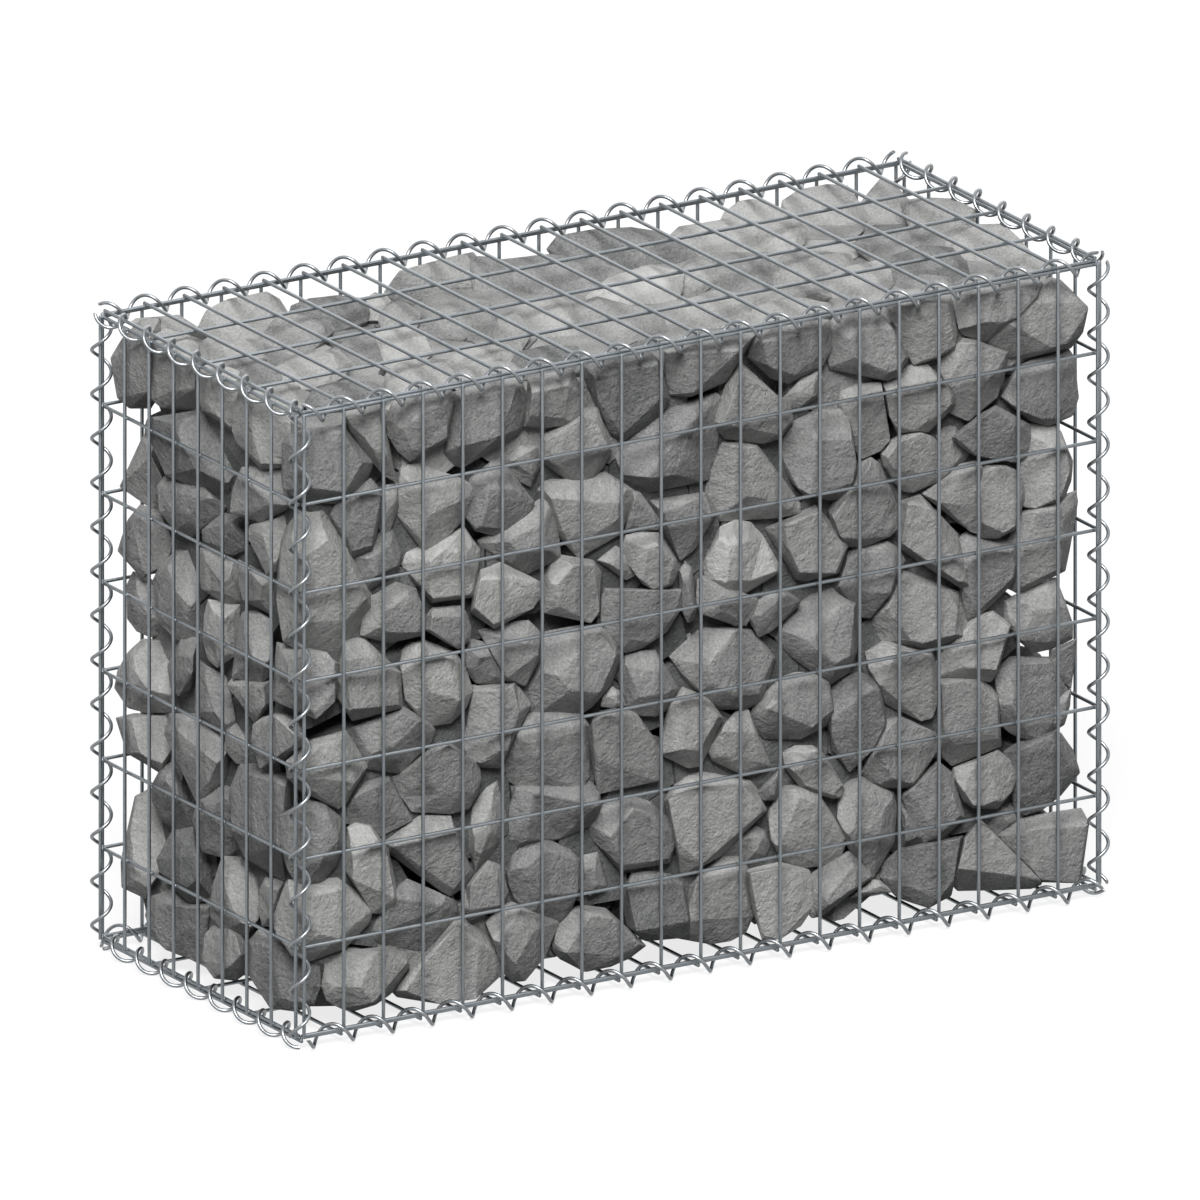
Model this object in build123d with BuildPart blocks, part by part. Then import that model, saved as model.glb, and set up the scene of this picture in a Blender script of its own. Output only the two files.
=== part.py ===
"""Gabion wall: one free-standing welded wire basket, laced along its edges and packed with rock.

The basket is six flat mesh panels. Every panel has close wires on its outside and wide wires
on its inside, welded where they cross. Each of the twelve edges is held by one spiral that is
wound round the edge wires of the two panels that meet there. The rock stands in the basket in
flat courses, as it is packed by hand. Modelled with Z up, X along the wall, and the ground at
Z = 0 in the middle of the basket.
"""
import os
from math import ceil, cos, floor, hypot, pi, radians, sin, sqrt

from build123d import *

os.makedirs("parts", exist_ok=True)

# Basket, measured to the middle of its edges
basket_length = 1000.0
basket_depth = 400.0
basket_height = 700.0
close_pitch = 50.0  # between the outer wires
wide_pitch = 100.0  # between the inner wires

# Mesh wire
wire = 4.0
weld_sink = 0.4  # how far two wires melt into each other where they cross
edge_gap = 0.1  # between the edge wires of two panels that meet
end_gap = 0.1  # between a cut wire end and the panel beside it

# Edge spirals
spiral_wire = 4.0
spiral_radius = 10.5  # of the middle of the wire
spiral_offset = 3.1  # of the axis, outside both panels
spiral_steps = 8  # straight runs to one turn
seat_gap = 0.3  # between a piece and what it bears on

# Where each spiral's wire stands as it passes a mesh wire, as an angle round the axis
long_spiral_turn = {"top_front": 90.0, "top_back": 52.0, "bottom_front": 174.0, "bottom_back": 289.0}
depth_spiral_turn = {"top_left": -72.0, "top_right": 36.0, "bottom_left": 177.0, "bottom_right": 130.0}
corner_spiral_turn = {"front_left": 138.0, "front_right": -2.0, "back_left": 58.0, "back_right": -20.0}

# Rock fill
fill_side_gap = 14.0  # between the rock and the inner wires
fill_top_gap = 12.0  # between the rock and the lid
course_count = 7
course_step = 7.0  # how far every other course stands back
corner_gap = 38.0  # rock missing at the upright corners
crown = 34.0  # rock missing along the upper edges


# Sizes that follow
bar = wire - weld_sink  # across the flats of the six-sided bar that stands for a wire
inner_offset = (wire + edge_gap) / sqrt(2)
outer_offset = inner_offset + bar
inner_end = inner_offset - wire / 2 - end_gap
outer_end = wire / 2

spiral_bar = spiral_wire * sqrt(pi) / 2  # square bar with the section of the round wire
step_angle = 360.0 / spiral_steps
spiral_outer = spiral_radius + spiral_wire / 2
spiral_corner_radius = spiral_outer - spiral_bar / 2 / cos(radians(step_angle / 2))
spiral_inside = spiral_corner_radius * cos(radians(step_angle / 2)) - spiral_bar / sqrt(2)
bar_corner = bar / sqrt(3)  # from the middle of a six-sided bar to its corners


def cells(span, pitch):
    """Whole number of mesh cells along a panel, and their real width."""
    count = max(1, round(span / pitch))
    return count, span / count


length_cells, length_step = cells(basket_length, close_pitch)
depth_cells, depth_step = cells(basket_depth, close_pitch)
height_cells, height_step = cells(basket_height, wide_pitch)


def mesh_panel(width, rise, place):
    """Flat panel: close wires run up it on the outside, wide wires run across on the inside."""
    width_count, width_step = cells(width, close_pitch)
    rise_count, rise_step = cells(rise, wide_pitch)
    across = width / 2 + inner_end
    upward = rise / 2 + outer_end
    with BuildPart() as panel:
        with BuildSketch(Plane.XZ.offset(-upward)):
            with Locations((0, outer_offset)):
                with GridLocations(width_step, 1, width_count + 1, 1):
                    RegularPolygon(bar / 2, 6, major_radius=False)
        extrude(amount=2 * upward)
        with BuildSketch(Plane.YZ.offset(-across)):
            with Locations((0, inner_offset)):
                with GridLocations(rise_step, 1, rise_count + 1, 1):
                    RegularPolygon(bar / 2, 6, major_radius=False)
        extrude(amount=2 * across)
    return place.location * panel.part


def spiral(length, pitch, turn, place):
    """Right-handed coil round the Z axis of its plane, in straight runs with mitred corners.

    It winds once to each cell, so its wire passes every mesh wire at the same angle.
    """
    end = turn + 360 * length / pitch
    first = floor(turn / step_angle + 1.2)
    last = ceil(end / step_angle - 1.2)
    angles = [turn] + [step_angle * step for step in range(first, last + 1)] + [end]
    points = []
    for angle in angles:
        east = spiral_corner_radius * cos(radians(angle))
        north = spiral_corner_radius * sin(radians(angle))
        points.append((east, north, pitch * (angle - turn) / 360 - length / 2))
    with BuildPart() as coil:
        with BuildLine() as path:
            Polyline(*points)
        with BuildSketch(Plane(origin=path.wire() @ 0, z_dir=path.wire() % 0)):
            Rectangle(spiral_bar, spiral_bar)
        sweep(path=path.wire(), transition=Transition.RIGHT)
    return place.location * coil.part


pieces = {}

# Mesh panels
front_plane = Plane((0, -basket_depth / 2, basket_height / 2), x_dir=(1, 0, 0), z_dir=(0, -1, 0))
back_plane = Plane((0, basket_depth / 2, basket_height / 2), x_dir=(-1, 0, 0), z_dir=(0, 1, 0))
left_plane = Plane((-basket_length / 2, 0, basket_height / 2), x_dir=(0, -1, 0), z_dir=(-1, 0, 0))
right_plane = Plane((basket_length / 2, 0, basket_height / 2), x_dir=(0, 1, 0), z_dir=(1, 0, 0))
lid_plane = Plane((0, 0, basket_height), x_dir=(1, 0, 0), z_dir=(0, 0, 1))
base_plane = Plane((0, 0, 0), x_dir=(1, 0, 0), z_dir=(0, 0, -1))
pieces["front_panel"] = mesh_panel(basket_length, basket_height, front_plane)
pieces["back_panel"] = mesh_panel(basket_length, basket_height, back_plane)
pieces["left_panel"] = mesh_panel(basket_depth, basket_height, left_plane)
pieces["right_panel"] = mesh_panel(basket_depth, basket_height, right_plane)
pieces["lid_panel"] = mesh_panel(basket_length, basket_depth, lid_plane)
pieces["base_panel"] = mesh_panel(basket_length, basket_depth, base_plane)

# Every spiral leans on one edge wire, which lies beside it all the way. The long ones lean out
# from the wide edge wire of the lid or base, the others from the close edge wire of a face
reach = spiral_inside - bar_corner - seat_gap
for edge, turn in long_spiral_turn.items():
    side = -1 if edge.endswith("front") else 1
    y = side * (basket_depth / 2 + reach)
    z = basket_height + inner_offset if edge.startswith("top") else -inner_offset
    place = Plane((0, y, z), x_dir=(0, 1, 0), z_dir=(1, 0, 0))
    pieces["spiral_" + edge] = spiral(basket_length, length_step, turn, place)
leaning = hypot(outer_offset - spiral_offset, spiral_offset)
lean_side = reach * spiral_offset / leaning
lean_face = outer_offset - reach * (outer_offset - spiral_offset) / leaning
for edge, turn in depth_spiral_turn.items():
    side = -1 if edge.endswith("left") else 1
    x = side * (basket_length / 2 + lean_side)
    z = basket_height + lean_face if edge.startswith("top") else -lean_face
    place = Plane((x, 0, z), x_dir=(0, 0, 1), z_dir=(0, 1, 0))
    pieces["spiral_" + edge] = spiral(basket_depth, depth_step, turn, place)
for edge, turn in corner_spiral_turn.items():
    side = -1 if edge.endswith("left") else 1
    face = -1 if edge.startswith("front") else 1
    x = side * (basket_length / 2 + lean_side)
    y = face * (basket_depth / 2 + lean_face)
    place = Plane((x, y, basket_height / 2), x_dir=(1, 0, 0), z_dir=(0, 0, 1))
    pieces["spiral_" + edge] = spiral(basket_height, height_step / 2, turn, place)

# Rock courses, each standing on the one below, the lowest on the base wires
wires_inside = inner_offset - bar / 2
fill_length = basket_length + 2 * (wires_inside - fill_side_gap)
fill_depth = basket_depth + 2 * (wires_inside - fill_side_gap)
fill_bottom = seat_gap - wires_inside
course_height = (basket_height + wires_inside - fill_top_gap - fill_bottom) / course_count
for number in range(course_count):
    back = course_step * (number % 2)
    with BuildPart() as course:
        with BuildSketch(Plane.XY.offset(fill_bottom + number * course_height)) as outline:
            Rectangle(fill_length - 2 * back, fill_depth - 2 * back)
            chamfer(outline.vertices(), corner_gap)
        extrude(amount=course_height)
        if number == course_count - 1:
            chamfer(course.faces().sort_by(Axis.Z)[-1].edges(), crown)
    pieces[f"rock_course_{number + 1}"] = course.part

# The basket stands on its bottom spirals, so the whole is lifted until they touch Z = 0
lift = -min(piece.bounding_box().min.Z for piece in pieces.values())
for name, piece in pieces.items():
    placed = piece.moved(Location((0, 0, lift)))
    placed.label = name
    export_step(placed, f"parts/{name}.step")
print(f"{len(pieces)} pieces, lifted {lift:.2f} mm")
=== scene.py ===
# %% [markdown]
# A gabion is a box of welded wire mesh, laced along its edges and packed with broken rock.
# This lesson dresses a measured frame of one: the frame says where each mesh panel, edge
# spiral and course of rock is, and Blender makes the round wire, the coils and every stone.
# The frame is loaded first, because everything after it is placed from its boxes.

# %% Load the frame
import math
import random

import bpy
from mathutils import Matrix, Vector


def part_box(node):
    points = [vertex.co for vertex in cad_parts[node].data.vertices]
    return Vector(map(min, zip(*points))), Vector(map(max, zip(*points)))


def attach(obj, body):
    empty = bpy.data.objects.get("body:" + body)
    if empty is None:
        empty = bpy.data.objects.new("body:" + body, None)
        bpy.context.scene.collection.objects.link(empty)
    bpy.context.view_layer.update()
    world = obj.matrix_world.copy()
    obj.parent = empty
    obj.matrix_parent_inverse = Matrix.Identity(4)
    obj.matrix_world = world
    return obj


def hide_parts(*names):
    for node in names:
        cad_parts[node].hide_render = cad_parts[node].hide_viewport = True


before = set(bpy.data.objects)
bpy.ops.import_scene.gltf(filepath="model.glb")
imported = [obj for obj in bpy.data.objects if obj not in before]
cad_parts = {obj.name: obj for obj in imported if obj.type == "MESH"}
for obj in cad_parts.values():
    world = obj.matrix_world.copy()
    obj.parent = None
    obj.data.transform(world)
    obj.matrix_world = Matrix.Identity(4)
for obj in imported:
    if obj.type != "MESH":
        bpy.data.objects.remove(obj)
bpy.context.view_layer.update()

MM = 0.001
print("frame nodes:", len(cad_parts))

# %% [markdown]
# Operators act on whatever is selected, and the frame arrives selected. So one small helper
# clears the selection and picks the objects that it is given, and each step below calls it
# first. It also leaves edit mode, because objects can't be picked there.


# %% Helper for picking objects
def pick(*objects):
    """Makes these objects the only selected ones, and the first of them active."""
    if bpy.context.object and bpy.context.object.mode != "OBJECT":
        bpy.ops.object.mode_set(mode="OBJECT")
    bpy.ops.object.select_all(action="DESELECT")
    for obj in objects:
        obj.select_set(True)
    bpy.context.view_layer.objects.active = objects[0]
    return objects[0]


# %% [markdown]
# The picture is a parallel view: edges that are parallel on the basket are parallel on the
# page. An orthographic camera gives that. Its turn and tilt come from the slopes of the long
# and short edges, and its scale from the height of the basket on the page. The camera aims
# at the middle of the basket, which stands on its coils a little above the ground.

# %% Camera
VIEW_TURN = math.radians(-31.61)
VIEW_TILT = math.radians(18.14)
PIXELS_PER_METRE = 931.81
PAGE_PIXELS = 1200
CAMERA_DISTANCE = 4.0

front_low, front_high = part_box("front_panel")
middle = Vector((0, 0, (front_low.z + front_high.z) / 2))
looking = Vector((
    -math.cos(VIEW_TILT) * math.sin(VIEW_TURN),
    math.cos(VIEW_TILT) * math.cos(VIEW_TURN),
    -math.sin(VIEW_TILT),
))
bpy.ops.object.camera_add(location=middle - looking * CAMERA_DISTANCE)
camera = bpy.context.object
camera.name = "view_camera"
camera.rotation_euler = looking.to_track_quat("-Z", "Y").to_euler()
camera.data.type = "ORTHO"
camera.data.ortho_scale = PAGE_PIXELS / PIXELS_PER_METRE
bpy.context.scene.camera = camera
bpy.context.scene.view_settings.view_transform = "Standard"
print("camera sees", round(camera.data.ortho_scale, 4), "m across")

# %% [markdown]
# Colours are written as the hex values that a designer would read off a colour card, and one
# function turns them into the linear values that the renderer counts with. A second function
# adds a shader node, sets its sockets and joins its links, and every material below is built
# with it.


# %% Colour and node helpers
def linear(hex_colour, alpha=1.0):
    """Linear colour of a hex value such as #8a8d90."""
    parts = [int(hex_colour[i:i + 2], 16) / 255 for i in (1, 3, 5)]
    scaled = [p / 12.92 if p <= 0.04045 else ((p + 0.055) / 1.055) ** 2.4 for p in parts]
    return (*scaled, alpha)


def add_node(tree, kind, settings=(), inputs=()):
    """Adds a shader node. Inputs map a socket to a value, or to (node, output) to link it."""
    node = tree.nodes.new(kind)
    for key, value in dict(settings).items():
        setattr(node, key, value)
    for key, value in dict(inputs).items():
        if isinstance(value, tuple) and isinstance(value[0], bpy.types.Node):
            tree.links.new(value[0].outputs[value[1]], node.inputs[key])
        else:
            node.inputs[key].default_value = value
    return node


def empty_tree(owner):
    """The cleared node tree of a material or a world."""
    owner.use_nodes = True
    owner.node_tree.nodes.clear()
    return owner.node_tree


def new_material(name):
    """Empty node material with its Principled shader and its output."""
    material = bpy.data.materials.new(name)
    tree = empty_tree(material)
    shader = add_node(tree, "ShaderNodeBsdfPrincipled")
    add_node(tree, "ShaderNodeOutputMaterial", inputs={"Surface": (shader, "BSDF")})
    return material, tree, shader


print("a middle grey as a linear value:", round(linear("#808080")[0], 3))

# %% [markdown]
# Studio light for grey stone is broad and soft. One large sun, high up and to the front left,
# lights the top most and the long face next, and leaves the short end more to the room, so the
# three faces read apart. A weaker one from behind keeps the back and the far end from going
# black, and doesn't reach what the camera sees first.

# %% Two lamps
SUN_FROM = Vector((-0.38, -0.55, 0.74))
SUN_POWER = 4.5
SUN_SOFTNESS = math.radians(28)
BACK_FROM = Vector((0.55, 0.70, 0.45))
BACK_POWER = 1.1
BACK_SOFTNESS = math.radians(70)
LAMP_DISTANCE = 3.0


def add_sun(name, comes_from, power, softness):
    """Sun lamp that shines on the basket from a direction."""
    bpy.ops.object.light_add(type="SUN", location=middle + comes_from * LAMP_DISTANCE)
    sun = bpy.context.object
    sun.name = name
    sun.rotation_euler = (-comes_from).to_track_quat("-Z", "Y").to_euler()
    sun.data.energy = power
    sun.data.angle = softness
    print(name, "power:", power)


add_sun("key_sun", SUN_FROM, SUN_POWER, SUN_SOFTNESS)
add_sun("back_sun", BACK_FROM, BACK_POWER, BACK_SOFTNESS)

# %% [markdown]
# The room is white to the camera and in reflections, because that is what the picture shows
# behind the basket and in the shine of the zinc. As a light it is much dimmer, and brightest
# up and behind, or the cracks between the stones would be filled with light and look flat.

# %% Background
ROOM_BRIGHT_SIDE = (0, 0.35, 0.94)
ROOM_ABOVE = 0.30
ROOM_BELOW = 0.01
ROOM_DARK_UNTIL = -0.3
ROOM_BRIGHT_FROM = 0.9

room = bpy.data.worlds.new("room")
bpy.context.scene.world = room
room_tree = empty_tree(room)
ray = add_node(room_tree, "ShaderNodeLightPath")
seen = add_node(room_tree, "ShaderNodeMath", {"operation": "MAXIMUM"},
                {0: (ray, "Is Camera Ray"), 1: (ray, "Is Glossy Ray")})
seen_or_through = add_node(room_tree, "ShaderNodeMath", {"operation": "MAXIMUM"},
                           {0: (seen, 0), 1: (ray, "Is Transmission Ray")})
direction = add_node(room_tree, "ShaderNodeTexCoord")
bright_side = add_node(room_tree, "ShaderNodeVectorMath", {"operation": "DOT_PRODUCT"},
                       {0: (direction, "Generated"), 1: ROOM_BRIGHT_SIDE})
room_light = add_node(room_tree, "ShaderNodeMapRange", {},
                      {"Value": (bright_side, "Value"),
                       "From Min": ROOM_DARK_UNTIL, "From Max": ROOM_BRIGHT_FROM,
                       "To Min": ROOM_BELOW, "To Max": ROOM_ABOVE})
strength = add_node(room_tree, "ShaderNodeMix", {"data_type": "FLOAT"},
                    {0: (seen_or_through, 0), 2: (room_light, 0), 3: 1.0})
white_room = add_node(room_tree, "ShaderNodeBackground", {},
                      {"Color": (1, 1, 1, 1), "Strength": (strength, 0)})
add_node(room_tree, "ShaderNodeOutputWorld", {}, {"Surface": (white_room, 0)})
print("room light above:", ROOM_ABOVE, "below:", ROOM_BELOW)

# %% [markdown]
# The floor is a plain white sheet under the basket. It is only there to take the shadow, so
# most of what the camera sees of it is its own white, and a part is lit and shaded. What it
# throws back at the stones is that of a much darker floor, so their undersides stay dark.

# %% Floor
FLOOR_SIZE = 40.0
FLOOR_OWN_WHITE = 0.80
FLOOR_BOUNCE = 0.05

pick(camera)
bpy.ops.mesh.primitive_plane_add(size=FLOOR_SIZE, location=(0, 0, 0))
floor = bpy.context.object
floor.name = "floor_sheet"
# Matt white paper, for the camera and in reflections mostly its own white
floor_paint = bpy.data.materials.new("white_floor")
floor_tree = empty_tree(floor_paint)
floor_ray = add_node(floor_tree, "ShaderNodeLightPath")
floor_tint = add_node(floor_tree, "ShaderNodeMix", {"data_type": "RGBA"},
                      {0: (floor_ray, "Is Camera Ray"),
                       6: (FLOOR_BOUNCE, FLOOR_BOUNCE, FLOOR_BOUNCE, 1), 7: linear("#fafafa")})
floor_matt = add_node(floor_tree, "ShaderNodeBsdfDiffuse", {}, {"Color": (floor_tint, 2)})
floor_white = add_node(floor_tree, "ShaderNodeEmission", {},
                       {"Color": (1, 1, 1, 1), "Strength": 1.0})
floor_seen = add_node(floor_tree, "ShaderNodeMath", {"operation": "MAXIMUM"},
                      {0: (floor_ray, "Is Camera Ray"), 1: (floor_ray, "Is Glossy Ray")})
floor_share = add_node(floor_tree, "ShaderNodeMath", {"operation": "MULTIPLY"},
                       {0: (floor_seen, 0), 1: FLOOR_OWN_WHITE})
floor_mix = add_node(floor_tree, "ShaderNodeMixShader", {},
                     {"Fac": (floor_share, 0), 1: (floor_matt, 0), 2: (floor_white, 0)})
add_node(floor_tree, "ShaderNodeOutputMaterial", {}, {"Surface": (floor_mix, 0)})
floor.data.materials.append(floor_paint)
print("floor:", FLOOR_SIZE, "m")

# %% [markdown]
# Mesh for gabions is drawn steel wire, hot-dip galvanised: zinc that dulls to a blue grey with
# faint crystals in it. It is a metal with a fairly rough skin, so it mirrors the room only as
# a soft streak along each wire. The lacing spirals are bright zinc, drawn smoother and paler.

# %% Zinc materials
CRYSTAL = 3 * MM
HAZE_IN_CRYSTALS = 6
HAZE_SHARE = 0.6
ZINC_RELIEF = 0.2 * MM
ZINC_RELIEF_STRENGTH = 0.15


def zinc(name, dark, pale, roughness):
    """Galvanised steel: zinc with a faint pattern of crystals between two greys."""
    material, tree, shader = new_material(name)
    place = add_node(tree, "ShaderNodeTexCoord")
    crystals = add_node(tree, "ShaderNodeTexVoronoi", {},
                        {"Vector": (place, "Object"), "Scale": 1 / CRYSTAL})
    haze = add_node(tree, "ShaderNodeTexNoise", {},
                    {"Vector": (place, "Object"), "Scale": 1 / (CRYSTAL * HAZE_IN_CRYSTALS),
                     "Detail": 3.0})
    blend = add_node(tree, "ShaderNodeMix", {"data_type": "FLOAT"},
                     {0: HAZE_SHARE, 2: (crystals, "Distance"), 3: (haze, "Fac")})
    colour = add_node(tree, "ShaderNodeMix", {"data_type": "RGBA"},
                      {0: (blend, 0), 6: linear(dark), 7: linear(pale)})
    tree.links.new(colour.outputs[2], shader.inputs["Base Color"])
    shader.inputs["Metallic"].default_value = 1.0
    shader.inputs["Roughness"].default_value = roughness
    bump = add_node(tree, "ShaderNodeBump", {},
                    {"Height": (haze, "Fac"), "Strength": ZINC_RELIEF_STRENGTH,
                     "Distance": ZINC_RELIEF})
    tree.links.new(bump.outputs[0], shader.inputs["Normal"])
    print("material:", name)
    return material


# Hot-dip galvanised mesh: weathered zinc, a dull grey with a little blue in it
zinc_mesh = zinc("dull_galvanised_wire", "#747a7e", "#999ea2", 0.42)
# Bright galvanised spirals: smoother, so each turn has a sharper streak of light
zinc_spiral = zinc("bright_galvanised_wire", "#6f7376", "#a3a6a9", 0.34)

# %% [markdown]
# The rock is broken grey stone, fine-grained and matt. Up close it has four scales: a slow
# cloudiness over each stone, paler and darker grains of a few millimetres, the shallow marks
# that splitting leaves about a finger's width apart, and small pits. Its colour takes the
# first two. Each stone also has a tone of its own, which is kept as an attribute on its mesh,
# because stones from one quarry are never quite the same grey. The stones in the heart of the
# pile get the lowest tones, a painted shade, so the cracks between the others look dark.

# %% Rock colour
GRAIN = 3.0 * MM
CLOUD = 38 * MM
CLOUD_SHARE = 0.4
GRAIN_SHARE = 0.45

# Split grey stone, matt all over, so that only its tones and its relief show
rock_face, rock_tree, rock_shader = new_material("broken_grey_rock")
rock_place = add_node(rock_tree, "ShaderNodeTexCoord")
own_tone = add_node(rock_tree, "ShaderNodeAttribute", {"attribute_name": "stone_tone"})
cloudy = add_node(rock_tree, "ShaderNodeTexNoise", {},
                  {"Vector": (rock_place, "Object"), "Scale": 1 / CLOUD,
                   "Detail": 5.0, "Roughness": 0.6})
grains = add_node(rock_tree, "ShaderNodeTexNoise", {},
                  {"Vector": (rock_place, "Object"), "Scale": 1 / GRAIN,
                   "Detail": 3.0, "Roughness": 0.8})
tone_and_cloud = add_node(rock_tree, "ShaderNodeMix", {"data_type": "FLOAT"},
                          {0: CLOUD_SHARE, 2: (own_tone, "Fac"), 3: (cloudy, "Fac")})
all_tones = add_node(rock_tree, "ShaderNodeMix", {"data_type": "FLOAT"},
                     {0: GRAIN_SHARE, 2: (tone_and_cloud, 0), 3: (grains, "Fac")})
rock_colour = add_node(rock_tree, "ShaderNodeValToRGB", {}, {"Fac": (all_tones, 0)})
tones = rock_colour.color_ramp.elements
tones[0].position = 0.32
tones[0].color = linear("#646565")
tones[1].position = 0.68
tones[1].color = linear("#b2b2b0")
# Lowest stop: near-black painted shade, for the heart stones seen through the cracks
painted_shade = tones.new(0.04)
painted_shade.color = linear("#2a2b2b")
rock_tree.links.new(rock_colour.outputs[0], rock_shader.inputs["Base Color"])
print("material:", rock_face.name)

# %% [markdown]
# A stone isn't only coloured but also uneven. The split marks and the pits are too fine to be
# made as geometry on every stone, so they are relief in the shading, the pits on top of the
# marks. The larger hollows are real ones, and are made further on.

# %% Rock relief
SPLIT_MARK = 13 * MM
SPLIT_MARK_DEPTH = 3.8 * MM
PIT = 3.5 * MM
PIT_DEPTH = 1.5 * MM

marks = add_node(rock_tree, "ShaderNodeTexNoise", {},
                 {"Vector": (rock_place, "Object"), "Scale": 1 / SPLIT_MARK,
                  "Detail": 5.0, "Roughness": 0.62})
marks_bump = add_node(rock_tree, "ShaderNodeBump", {},
                      {"Height": (marks, "Fac"), "Strength": 1.0, "Distance": SPLIT_MARK_DEPTH})
pits = add_node(rock_tree, "ShaderNodeTexNoise", {},
                {"Vector": (rock_place, "Object"), "Scale": 1 / PIT,
                 "Detail": 3.0, "Roughness": 0.7})
rock_bump = add_node(rock_tree, "ShaderNodeBump", {},
                     {"Height": (pits, "Fac"), "Strength": 1.0, "Distance": PIT_DEPTH,
                      "Normal": (marks_bump, 0)})
rock_tree.links.new(rock_bump.outputs[0], rock_shader.inputs["Normal"])
rock_shader.inputs["Roughness"].default_value = 0.88
rock_shader.inputs["Specular IOR Level"].default_value = 0.3
print("relief of the rock, in mm:", SPLIT_MARK_DEPTH / MM, PIT_DEPTH / MM)
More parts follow.
